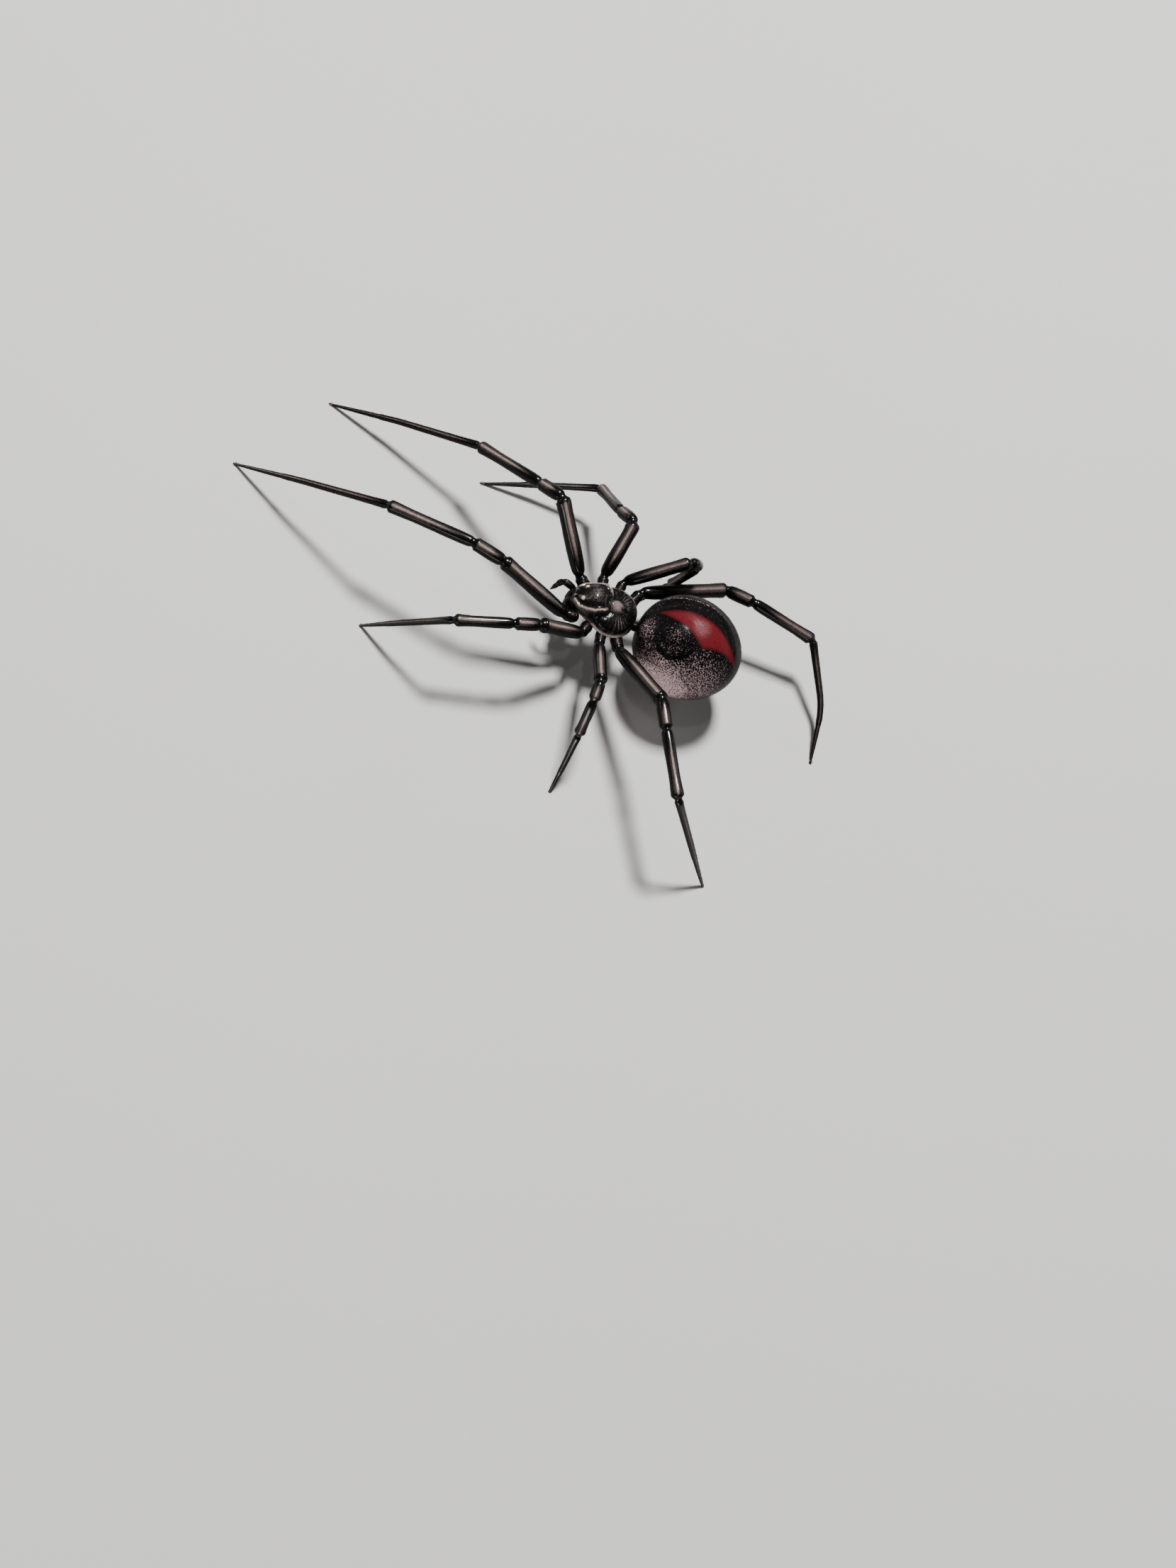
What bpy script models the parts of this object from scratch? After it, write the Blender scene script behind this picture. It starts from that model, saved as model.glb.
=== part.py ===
"""A black widow spider: one adult female at life size, as a still model.

The spider faces -Y, its left side is at +X, and its eight feet stand at z = 0.
Sizes are in millimetres and become metres where a mesh or a curve is made.
The body frame has its zero on the floor below the waist. At the end an empty
carries every piece so that the middle of the model's footprint is the origin.
"""

import math
from typing import NamedTuple

import bmesh
import bpy
from mathutils import Matrix, Vector

MM = 0.001

# Body
HEAD_FRONT_Y = -4.7
CARAPACE_LENGTH = 4.8
CARAPACE_WIDTH = 3.9
RIM_HEIGHT = 4.5
WAIST_HEIGHT = 4.1
WAIST_RADIUS = 0.36
WAIST_REACH = 1.2
WAIST_GAP = 0.1
ABDOMEN_CENTRE = Vector((0.15, 4.18, 4.62))
ABDOMEN_LENGTH = 7.76
ABDOMEN_WIDTH = 7.34
ABDOMEN_HEIGHT = 7.04
ABDOMEN_REAR_TAPER = 0.05

# Cross sections of the front body, as (share of length from the front, value)
CARAPACE_HALF_WIDTHS = (
    (0.0, 0.56),
    (0.14, 0.64),
    (0.3, 0.68),
    (0.45, 0.85),
    (0.6, 1.0),
    (0.78, 0.99),
    (0.9, 0.9),
    (1.0, 0.68),
)
CARAPACE_TOPS = (
    (0.0, 0.75),
    (0.09, 0.88),
    (0.17, 1.14),
    (0.29, 1.62),
    (0.43, 1.44),
    (0.6, 1.0),
    (0.8, 0.86),
    (1.0, 0.4),
)
CARAPACE_DEPTHS = ((0.0, 0.15), (0.12, 0.5), (0.24, 1.1), (0.5, 1.3), (0.8, 1.15), (1.0, 0.2))
BLUNTNESS = 3.2
STERNUM_TAPER = 0.42

# Legs
HIP_HEIGHT = 4.4
COXA_ROOT_HEIGHT = 3.9
BEND_RADIUS = 0.8
JOINT_GAP = 0.25
FOOT_OVERRUN = 0.5
ANKLE_SHARE = 0.55
ANKLE_BEND_RADIUS = 6.0
FOOT_BOW = 0.015


class LegPair(NamedTuple):
    """What both legs of a pair share.

    The lengths are those of femur, patella, tibia and foot, and the hip and the root
    are given from above, for the left side.
    """

    lengths: tuple
    hip: tuple
    root: tuple
    stoutness: float


class LegPose(NamedTuple):
    """How one leg is held.

    The headings of femur, patella, tibia and foot are in degrees from straight ahead
    towards the leg's own side, and the rises of the first three are in degrees above
    level. The foot's own slope takes its tip to the floor. The reach is the leg's share
    of its pair's length, and the bow is how far the foot bends, by share of its length.
    """

    headings: tuple
    rises: tuple
    reach: float
    bow: float = FOOT_BOW


LEG_PAIRS = {
    1: LegPair(lengths=(6.15, 2.3, 6.2, 12.45), hip=(1.75, -4.7), root=(1.2, -3.8), stoutness=1.0),
    2: LegPair(lengths=(4.25, 1.95, 4.3, 8.3), hip=(2.6, -3.1), root=(1.3, -2.8), stoutness=0.94),
    3: LegPair(lengths=(4.8, 1.5, 2.8, 4.75), hip=(2.85, -1.65), root=(1.3, -1.8), stoutness=0.86),
    4: LegPair(lengths=(6.65, 2.15, 5.05, 8.55), hip=(2.6, -0.25), root=(1.2, -0.8), stoutness=0.98),
}
LEG_POSES = {
    ("left", 1): LegPose(headings=(4, -5, -5, -13), rises=(31, 5, -9), reach=1.05),
    ("right", 1): LegPose(headings=(39, 29, 27, 7), rises=(40, -25, -24), reach=0.95),
    ("left", 2): LegPose(headings=(36, 26, 22, -4), rises=(29, 1, -5), reach=0.99),
    ("right", 2): LegPose(headings=(97, 46, 61, -13), rises=(36, -35, -38), reach=1.03),
    ("left", 3): LegPose(headings=(101, 94, 95, 89), rises=(27, -20, -57), reach=0.99),
    ("right", 3): LegPose(headings=(151, 135, -34, -30), rises=(33, -44, -58), reach=1.04),
    ("left", 4): LegPose(headings=(129, 117, 119, 168), rises=(30, -2, -5), reach=1.02),
    ("right", 4): LegPose(headings=(147, 193, 181, 245), rises=(-4, 18, -11), reach=1.02, bow=0.09),
}

# Radii of each leg segment, as (share of its length, millimetres)
SEGMENT_RADII = {
    "coxa": ((0.0, 0.36), (0.45, 0.5), (0.7, 0.4), (0.88, 0.43), (1.0, 0.38)),
    "femur": ((0.0, 0.4), (0.08, 0.5), (0.35, 0.56), (0.8, 0.53), (0.95, 0.56), (1.0, 0.5)),
    "patella": ((0.0, 0.46), (0.3, 0.51), (0.75, 0.5), (1.0, 0.43)),
    "tibia": ((0.0, 0.4), (0.15, 0.44), (0.7, 0.42), (0.95, 0.48), (1.0, 0.42)),
    "foot": ((0.0, 0.33), (0.08, 0.3), (0.55, 0.27), (0.62, 0.29), (0.68, 0.26), (0.92, 0.2), (1.0, 0.12)),
}
SEGMENT_RINGS = {"coxa": 7, "femur": 9, "patella": 6, "tibia": 8, "foot": 11}

# Mouth parts
CHELICERA_TOP = Vector((0.36, -4.55, 4.55))
CHELICERA_FOOT = Vector((0.3, -4.85, 3.2))
CHELICERA_RADII = ((0.0, 0.3), (0.35, 0.33), (0.8, 0.27), (1.0, 0.2))
CHELICERA_RINGS = 8
FANG_HEEL = Vector((-0.03, 0.0, -0.25))
FANG_REACH = Vector((-0.14, 0.42, -0.12))
FANG_RADII = ((0.0, 0.16), (0.5, 0.12), (1.0, 0.03))
FANG_RINGS = 7
PALP_ROOT = Vector((0.62, -3.95, 3.45))
PALP_ELBOW = Vector((0.98, -4.7, 3.8))
PALP_KNEE = Vector((1.0, -5.6, 4.2))
PALP_TIP = Vector((0.75, -6.15, 2.8))
PALP_RADII = ((0.0, 0.22), (0.25, 0.26), (0.7, 0.27), (0.85, 0.22), (1.0, 0.05))
PALP_RINGS = 14
PALP_REACH = {"left": 0.85, "right": 1.0}

# Eyes in two rows, as (distance from the middle, height above the floor, radius)
EYES = {
    "front_median": (0.26, 4.97, 0.13),
    "front_lateral": (0.76, 4.86, 0.12),
    "rear_median": (0.5, 5.38, 0.21),
    "rear_lateral": (0.96, 5.1, 0.13),
}
EYE_REGION = 0.3
EYE_SEARCH_STEPS = 30
EYE_GAP = 0.08
EYE_SUNK = 0.35

# Spinnerets, under the rear end of the abdomen
SPINNERET_SLOPE = math.radians(-52.0)
SPINNERET_BASE_RADIUS = 0.6
SPINNERET_BASE_HEIGHT = 0.6
SPINNERET_RING = 0.29
SPINNERET_LENGTH = 0.55
SPINNERET_RADIUS = 0.21
SPINNERET_TAPER = 0.5
SPINNERET_COUNT = 6

# Fineness of the meshes
TUBE_BEVEL_RESOLUTION = 4
BODY_SEGMENTS = 36
BODY_RINGS = 24
EYE_SEGMENTS = 12
EYE_RINGS = 8
WAIST_RINGS = 4
CONE_SEGMENTS = 12
WELD = 1e-7

SIDES = {"left": 1.0, "right": -1.0}


class Finish(NamedTuple):
    """Colour, roughness and clear coat of a surface."""

    colour: tuple
    roughness: float
    coat: float = 0.0


SHELL = Finish((0.012, 0.010, 0.011), 0.3, 0.3)
ABDOMEN_SKIN = Finish((0.010, 0.009, 0.009), 0.25, 0.4)
CLAW_HORN = Finish((0.035, 0.012, 0.008), 0.15, 0.5)
EYE_LENS = Finish((0.03, 0.027, 0.024), 0.06, 1.0)


def clear_scene():
    """Remove every object, so that the model starts from an empty scene."""
    for old in list(bpy.data.objects):
        bpy.data.objects.remove(old, do_unlink=True)


def new_collection(name):
    """Make a collection in the scene."""
    collection = bpy.data.collections.new(name)
    bpy.context.scene.collection.children.link(collection)
    return collection


def smooth(stations, place):
    """Read a smooth curve through (place, value) stations."""
    last = len(stations) - 1
    passed = sum(1 for station, _ in stations if station <= place)
    index = max(0, min(last - 1, passed - 1))

    def slope(k):
        low, high = max(k - 1, 0), min(k + 1, last)
        return (stations[high][1] - stations[low][1]) / (stations[high][0] - stations[low][0])

    (start, first), (end, second) = stations[index], stations[index + 1]
    span = end - start
    s = (place - start) / span
    return (
        (2 * s**3 - 3 * s**2 + 1) * first
        + (s**3 - 2 * s**2 + s) * span * slope(index)
        + (3 * s**2 - 2 * s**3) * second
        + (s**3 - s**2) * span * slope(index + 1)
    )


def mirrored(point, side):
    """Take a point given for the left side to the side asked for."""
    return Vector((point[0] * SIDES[side], point[1], point[2]))


def give_material(piece, finish):
    """Give a piece a material of its own."""
    material = bpy.data.materials.new(piece.name)
    material.use_nodes = True
    shader = material.node_tree.nodes["Principled BSDF"]
    shader.inputs["Base Color"].default_value = (*finish.colour, 1.0)
    shader.inputs["Roughness"].default_value = finish.roughness
    shader.inputs["Metallic"].default_value = 0.0
    shader.inputs["Coat Weight"].default_value = finish.coat
    piece.data.materials.clear()
    piece.data.materials.append(material)


def object_from_bmesh(name, shape, collection):
    """Turn a bmesh in millimetres into a smooth-shaded object in metres."""
    bmesh.ops.scale(shape, vec=(MM, MM, MM), verts=shape.verts)
    bmesh.ops.recalc_face_normals(shape, faces=shape.faces)
    mesh = bpy.data.meshes.new(name)
    shape.to_mesh(mesh)
    shape.free()
    mesh.shade_smooth()
    piece = bpy.data.objects.new(name, mesh)
    collection.objects.link(piece)
    return piece


def shaped_ball(name, form, collection, segments=BODY_SEGMENTS, rings=BODY_RINGS, grow=0.0):
    """Shape a sphere, whose poles lie fore and aft, by a function of its unit points."""
    shape = bmesh.new()
    bmesh.ops.create_uvsphere(shape, u_segments=segments, v_segments=rings, radius=1.0)
    bmesh.ops.rotate(shape, verts=shape.verts, matrix=Matrix.Rotation(math.radians(90.0), 3, "X"))
    for vertex in shape.verts:
        vertex.co = form(vertex.co)
    shape.normal_update()
    for vertex in shape.verts:
        vertex.co += vertex.normal * grow
    return object_from_bmesh(name, shape, collection)


def tube(name, points, radii, collection):
    """Make a closed round tube, in millimetres, with a radius at each point."""
    curve = bpy.data.curves.new(name, "CURVE")
    curve.dimensions = "3D"
    curve.bevel_depth = MM
    curve.bevel_resolution = TUBE_BEVEL_RESOLUTION
    curve.use_fill_caps = True
    spline = curve.splines.new("POLY")
    spline.points.add(len(points) - 1)
    for knot, point, radius in zip(spline.points, points, radii):
        knot.co = (*(point * MM), 1.0)
        knot.radius = radius
    guide = bpy.data.objects.new(name + "_curve", curve)
    collection.objects.link(guide)
    return curve_to_mesh(name, guide, collection)


def curve_to_mesh(name, guide, collection):
    """Replace a curve by a mesh whose caps are welded on."""
    evaluated = guide.evaluated_get(bpy.context.evaluated_depsgraph_get())
    mesh = bpy.data.meshes.new_from_object(evaluated)
    mesh.name = name
    shape = bmesh.new()
    shape.from_mesh(mesh)
    bmesh.ops.remove_doubles(shape, verts=shape.verts, dist=WELD)
    bmesh.ops.recalc_face_normals(shape, faces=shape.faces)
    shape.to_mesh(mesh)
    shape.free()
    mesh.shade_smooth()
    piece = bpy.data.objects.new(name, mesh)
    piece.matrix_world = guide.matrix_world.copy()
    collection.objects.link(piece)
    bpy.data.objects.remove(guide, do_unlink=True)
    return piece


def keep_largest(shape):
    """Leave only the largest closed surface of a bmesh."""
    unseen = set(shape.faces)
    islands = []
    while unseen:
        island = [unseen.pop()]
        for face in island:
            for edge in face.edges:
                for neighbour in edge.link_faces:
                    if neighbour in unseen:
                        unseen.remove(neighbour)
                        island.append(neighbour)
        islands.append(island)
    islands.sort(key=lambda faces: sum(face.calc_area() for face in faces))
    scraps = [face for island in islands[:-1] for face in island]
    bmesh.ops.delete(shape, geom=scraps, context="FACES")


def apply_modifiers(piece):
    """Make what the modifiers show the piece's own mesh, as one closed surface."""
    evaluated = piece.evaluated_get(bpy.context.evaluated_depsgraph_get())
    mesh = bpy.data.meshes.new_from_object(evaluated)
    mesh.name = piece.name
    piece.modifiers.clear()
    piece.data = mesh
    shape = bmesh.new()
    shape.from_mesh(mesh)
    keep_largest(shape)
    bmesh.ops.remove_doubles(shape, verts=shape.verts, dist=WELD)
    shape.to_mesh(mesh)
    shape.free()


def cut(piece, cutter):
    """Take a cutter's shape out of a piece."""
    modifier = piece.modifiers.new("cut", "BOOLEAN")
    modifier.operation = "DIFFERENCE"
    modifier.solver = "EXACT"
    modifier.object = cutter
    apply_modifiers(piece)


def unite(piece, others):
    """Fuse a collection's closed pieces into one piece, and remove them."""
    modifier = piece.modifiers.new("unite", "BOOLEAN")
    modifier.operation = "UNION"
    modifier.solver = "EXACT"
    modifier.operand_type = "COLLECTION"
    modifier.collection = others
    apply_modifiers(piece)
    for other in list(others.objects):
        bpy.data.objects.remove(other, do_unlink=True)


class BentPath:
    """Straight runs joined by round bends, read by distance along the path."""

    ARC_STEPS = 12
    SHARE_OF_RUN = 0.45
    STRAIGHT = math.radians(0.5)

    def __init__(self, corners, bend_radii):
        self.points = [corners[0]]
        self.bends = []
        for before, corner, after, radius in zip(corners, corners[1:], corners[2:], bend_radii):
            self._add_bend(before, corner, after, radius)
        self._add_point(corners[-1])
        self.length = self._length_to(len(self.points) - 1)

    def _add_point(self, point):
        self.points.append(point)

    def _length_to(self, count):
        runs = zip(self.points[:count], self.points[1 : count + 1])
        return sum((end - start).length for start, end in runs)

    def _add_bend(self, before, corner, after, bend_radius):
        inward = (corner - before).normalized()
        outward = (after - corner).normalized()
        turn = inward.angle(outward)
        if turn < self.STRAIGHT:
            self._add_point(corner)
            self.bends.append(self._length_to(len(self.points) - 1))
            return
        shorter = min((corner - before).length, (after - corner).length)
        lead = min(bend_radius * math.tan(turn / 2), self.SHARE_OF_RUN * shorter)
        radius = lead / math.tan(turn / 2)
        centre = corner + (outward - inward).normalized() * (radius / math.cos(turn / 2))
        arm = corner - inward * lead - centre
        axis = inward.cross(outward)
        for step in range(self.ARC_STEPS + 1):
            self._add_point(centre + Matrix.Rotation(turn * step / self.ARC_STEPS, 3, axis) @ arm)
            if step * 2 == self.ARC_STEPS:
                self.bends.append(self._length_to(len(self.points) - 1))

    def at(self, distance):
        """Return the point at a distance along the path."""
        left = distance
        for start, end in zip(self.points, self.points[1:]):
            run = (end - start).length
            if left <= run:
                return start.lerp(end, left / run) if run else start
            left -= run
        return self.points[-1]


def swept_tube(name, path, start, end, radii, rings, collection, stoutness=1.0):
    """Make a tube along part of a path, with its rings closer at both ends."""
    shares = [(1.0 - math.cos(math.pi * ring / (rings - 1))) / 2.0 for ring in range(rings)]
    points = [path.at(start + (end - start) * share) for share in shares]
    widths = [smooth(radii, share) * stoutness for share in shares]
    return tube(name, points, widths, collection)


def whole_tube(name, path, radii, rings, collection):
    """Make a tube along the whole of a path."""
    return swept_tube(name, path, 0.0, path.length, radii, rings, collection)


def carapace_point(share, angle, reach=1.0):
    """Return a point of the front body's surface.

    The share runs from the front to the rear, the angle goes round from the left
    rim over the top, and reach draws the section in towards its own middle.
    """
    half_width = smooth(CARAPACE_HALF_WIDTHS, share) * CARAPACE_WIDTH / 2
    across, up = math.cos(angle), math.sin(angle)
    if up >= 0.0:
        height = smooth(CARAPACE_TOPS, share) * up
    else:
        height = smooth(CARAPACE_DEPTHS, share) * up
        across *= 1.0 - STERNUM_TAPER * up * up
    y = HEAD_FRONT_Y + CARAPACE_LENGTH * share
    return Vector((half_width * across * reach, y, RIM_HEIGHT + height * reach))


def carapace_reach(along):
    """Return how full the front body is at a place from -1 at the front to 1 behind."""
    return max(0.0, 1.0 - abs(along) ** BLUNTNESS) ** (1.0 / BLUNTNESS)


def carapace_form(unit):
    """Shape a unit sphere into the front body: head, thorax and breastplate."""
    return carapace_point((unit.y + 1.0) / 2.0, math.atan2(unit.z, unit.x), carapace_reach(unit.y))


def abdomen_form(unit):
    """Shape a unit sphere into the abdomen, a globe a little narrower behind."""
    fullness = 1.0 - ABDOMEN_REAR_TAPER * unit.y
    across = unit.x * fullness * ABDOMEN_WIDTH / 2
    up = unit.z * fullness * ABDOMEN_HEIGHT / 2
    return ABDOMEN_CENTRE + Vector((across, unit.y * ABDOMEN_LENGTH / 2, up))


def build_waist(collection, cutters):
    """Make the short stalk between the front body and the abdomen."""
    shares = [2.0 * ring / (WAIST_RINGS - 1) - 1.0 for ring in range(WAIST_RINGS)]
    points = [Vector((0.0, WAIST_REACH * share, WAIST_HEIGHT)) for share in shares]
    waist = tube("pedicel", points, [WAIST_RADIUS] * WAIST_RINGS, collection)
    for cutter in cutters:
        cut(waist, cutter)
    give_material(waist, SHELL)


def build_eyes(cephalothorax, collection, cutters):
    """Set eight eyes in two rows, each in a socket of the head."""
    middle = Vector((0.0, HEAD_FRONT_Y + EYE_REGION * CARAPACE_LENGTH, RIM_HEIGHT))
    for side in SIDES:
        for row, (across, height, radius) in EYES.items():
            skin = mirrored(head_point(across, height), side)
            centre = skin + (middle - skin).normalized() * (radius * EYE_SUNK)
            socket = ball("socket", centre, radius + EYE_GAP, cutters)
            cut(cephalothorax, socket)
            bpy.data.objects.remove(socket, do_unlink=True)
            eye = ball(f"eye_{side}_{row}", centre, radius, collection)
            give_material(eye, EYE_LENS)


def head_point(across, height):
    """Return the point of the head's face at a distance from the middle and a height."""
    near, far = 0.0, EYE_REGION
    for _ in range(EYE_SEARCH_STEPS):
        share = (near + far) / 2
        angle = math.atan2(height - RIM_HEIGHT, across)
        outer = carapace_point(share, angle, carapace_reach(2 * share - 1))
        if math.hypot(outer.x, outer.z - RIM_HEIGHT) < math.hypot(across, height - RIM_HEIGHT):
            near = share
        else:
            far = share
    return Vector((across, HEAD_FRONT_Y + CARAPACE_LENGTH * far, height))


def ball(name, centre, radius, collection):
    """Make a small sphere."""
    shape = bmesh.new()
    bmesh.ops.create_uvsphere(shape, u_segments=EYE_SEGMENTS, v_segments=EYE_RINGS, radius=radius)
    bmesh.ops.translate(shape, vec=centre, verts=shape.verts)
    return object_from_bmesh(name, shape, collection)


def build_mouth(side, collection, head_cutter):
    """Make one side's chelicera, fang and pedipalp."""
    top = mirrored(CHELICERA_TOP, side)
    foot = mirrored(CHELICERA_FOOT, side)
    jaw_path = BentPath([top, foot], [])
    jaw = whole_tube(f"chelicera_{side}", jaw_path, CHELICERA_RADII, CHELICERA_RINGS, collection)
    cut(jaw, head_cutter)
    give_material(jaw, SHELL)

    drop = (foot - top).normalized()
    root = foot + drop * JOINT_GAP
    heel = root + mirrored(FANG_HEEL, side)
    tip = heel + mirrored(FANG_REACH, side)
    fang_path = BentPath([root, heel, tip], [BEND_RADIUS])
    fang = whole_tube(f"fang_{side}", fang_path, FANG_RADII, FANG_RINGS, collection)
    give_material(fang, CLAW_HORN)

    reach = PALP_REACH[side]
    elbow = mirrored(PALP_ELBOW, side)
    knee = elbow + (mirrored(PALP_KNEE, side) - elbow) * reach
    end = elbow + (mirrored(PALP_TIP, side) - elbow) * reach
    palp_path = BentPath([mirrored(PALP_ROOT, side), elbow, knee, end], [BEND_RADIUS] * 2)
    palp = whole_tube(f"pedipalp_{side}", palp_path, PALP_RADII, PALP_RINGS, collection)
    cut(palp, head_cutter)
    give_material(palp, SHELL)


def heading(side, yaw, pitch):
    """Return a direction from its heading and rise in degrees."""
    turn, climb = math.radians(yaw), math.radians(pitch)
    across = math.sin(turn) * math.cos(climb) * SIDES[side]
    return Vector((across, -math.cos(turn) * math.cos(climb), math.sin(climb)))


def leg_corners(side, number):
    """Work out the joints of one leg, from its root in the body to its tip on the floor."""
    pair, pose = LEG_PAIRS[number], LEG_POSES[side, number]
    lengths = [length * pose.reach for length in pair.lengths]
    root = mirrored((*pair.root, COXA_ROOT_HEIGHT), side)
    joints = [root, mirrored((*pair.hip, HIP_HEIGHT), side)]
    for length, yaw, pitch in zip(lengths, pose.headings, pose.rises):
        joints.append(joints[-1] + heading(side, yaw, pitch) * length)
    drop = math.degrees(math.asin(joints[-1].z / lengths[-1]))
    joints.append(joints[-1] + heading(side, pose.headings[-1], -drop) * lengths[-1])
    return joints


def bowed_ankle(joints, bow):
    """Return the foot's middle joint, bowed out the way that the tibia points."""
    tibia_start, tibia_end, tip = joints[-3:]
    chord = tip - tibia_end
    onward = (tibia_end - tibia_start).normalized()
    outward = (onward - onward.project(chord)).normalized()
    return tibia_end + chord * ANKLE_SHARE + outward * (bow * chord.length)


def stand_on_floor(foot):
    """Cut a foot level with the floor, so that it ends in a small flat."""
    shape = bmesh.new()
    shape.from_mesh(foot.data)
    everything = list(shape.verts) + list(shape.edges) + list(shape.faces)
    cut_edges = bmesh.ops.bisect_plane(
        shape, geom=everything, plane_co=(0.0, 0.0, 0.0), plane_no=(0.0, 0.0, 1.0), clear_inner=True
    )["geom_cut"]
    rim = [item for item in cut_edges if isinstance(item, bmesh.types.BMEdge)]
    bmesh.ops.contextual_create(shape, geom=rim)
    bmesh.ops.recalc_face_normals(shape, faces=shape.faces)
    shape.to_mesh(foot.data)
    shape.free()


def build_leg(side, number, collection, head_cutter):
    """Make one leg as five segments that part at the middle of each bend."""
    joints = leg_corners(side, number)
    ankle = bowed_ankle(joints, LEG_POSES[side, number].bow)
    toe = joints[-1] + (joints[-1] - ankle).normalized() * FOOT_OVERRUN
    bend_radii = [BEND_RADIUS] * (len(joints) - 2) + [ANKLE_BEND_RADIUS]
    path = BentPath([*joints[:-1], ankle, toe], bend_radii)
    ends = [0.0, *path.bends[:-1], path.length]
    for index, (segment, radii) in enumerate(SEGMENT_RADII.items()):
        start = ends[index] + (JOINT_GAP / 2 if index else 0.0)
        end = ends[index + 1] - (JOINT_GAP / 2 if segment != "foot" else 0.0)
        name = f"leg_{side}_{number}_{segment}"
        rings = SEGMENT_RINGS[segment]
        stoutness = LEG_PAIRS[number].stoutness
        piece = swept_tube(name, path, start, end, radii, rings, collection, stoutness)
        if segment == "coxa":
            cut(piece, head_cutter)
        if segment == "foot":
            stand_on_floor(piece)
        give_material(piece, SHELL)


def build_spinnerets(collection, abdomen_cutter):
    """Make the cluster of spinnerets under the rear of the abdomen."""
    axis = Vector((0.0, math.cos(SPINNERET_SLOPE), math.sin(SPINNERET_SLOPE)))
    lean = math.atan2(axis.y, axis.z)
    root = abdomen_form(axis)
    cones = new_collection("spinneret_cones")
    for index in range(SPINNERET_COUNT):
        turn = 2 * math.pi * (index + 0.5) / SPINNERET_COUNT
        across, up = math.cos(turn) * SPINNERET_RING, math.sin(turn) * SPINNERET_RING
        offset = Vector((across, up, SPINNERET_BASE_HEIGHT / 2))
        cone(f"cone_{index}", SPINNERET_RADIUS, SPINNERET_LENGTH, offset, lean, root, cones)
    offset = Vector((0.0, 0.0, -SPINNERET_BASE_HEIGHT))
    height = SPINNERET_BASE_HEIGHT * 2
    base = cone("spinnerets", SPINNERET_BASE_RADIUS, height, offset, lean, root, collection)
    unite(base, cones)
    cut(base, abdomen_cutter)
    give_material(base, SHELL)


def cone(name, radius, height, offset, lean, place, collection):
    """Make a blunt cone that grows from an offset, leant over and set in place."""
    tip = radius * SPINNERET_TAPER
    shape = bmesh.new()
    bmesh.ops.create_cone(
        shape, cap_ends=True, segments=CONE_SEGMENTS, radius1=radius, radius2=tip, depth=height
    )
    bmesh.ops.translate(shape, vec=offset + Vector((0.0, 0.0, height / 2)), verts=shape.verts)
    bmesh.ops.rotate(shape, verts=shape.verts, matrix=Matrix.Rotation(-lean, 3, "X"))
    bmesh.ops.translate(shape, vec=place, verts=shape.verts)
    return object_from_bmesh(name, shape, collection)


def set_on_origin(collection):
    """Carry every piece on an empty that puts the footprint's middle at the origin."""
    corners = [vertex.co for piece in collection.objects for vertex in piece.data.vertices]
    lows = [min(corner[axis] for corner in corners) for axis in range(3)]
    highs = [max(corner[axis] for corner in corners) for axis in range(3)]
    carrier = bpy.data.objects.new("spider_origin", None)
    carrier.location = (-(lows[0] + highs[0]) / 2, -(lows[1] + highs[1]) / 2, -lows[2])
    for piece in list(collection.objects):
        piece.parent = carrier
    collection.objects.link(carrier)


def build_spider():
    """Build the whole spider."""
    clear_scene()
    spider = new_collection("black_widow_spider")
    cutters = new_collection("cutters")

    cephalothorax = shaped_ball("cephalothorax", carapace_form, spider)
    give_material(cephalothorax, SHELL)
    abdomen = shaped_ball("abdomen", abdomen_form, spider)
    give_material(abdomen, ABDOMEN_SKIN)

    head_cutter = shaped_ball("head_clearance", carapace_form, cutters, grow=JOINT_GAP)
    abdomen_cutter = shaped_ball("abdomen_clearance", abdomen_form, cutters, grow=JOINT_GAP)
    waist_cutters = (
        shaped_ball("head_waist_clearance", carapace_form, cutters, grow=WAIST_GAP),
        shaped_ball("abdomen_waist_clearance", abdomen_form, cutters, grow=WAIST_GAP),
    )
    build_waist(spider, waist_cutters)
    build_spinnerets(spider, abdomen_cutter)
    build_eyes(cephalothorax, spider, cutters)
    for side in SIDES:
        build_mouth(side, spider, head_cutter)
        for number in LEG_PAIRS:
            build_leg(side, number, spider, head_cutter)

    for cutter in cutters.objects:
        cutter.hide_render = True
        cutter.display_type = "WIRE"
    set_on_origin(spider)


build_spider()
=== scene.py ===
"""The looks of a life-size black widow spider, dressed over its fixed frame.

Sizes are in millimetres in the body frame: its zero is on the floor below the waist,
the spider faces -Y and its left side is at +X. Finished pieces are in metres.
"""

import logging
import math
import random
from bisect import bisect_right
from collections.abc import Callable, Iterable, Iterator, Sequence
from contextlib import contextmanager
from dataclasses import dataclass
from enum import Enum

import bpy
from mathutils import Matrix, Vector
from mathutils.kdtree import KDTree


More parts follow.
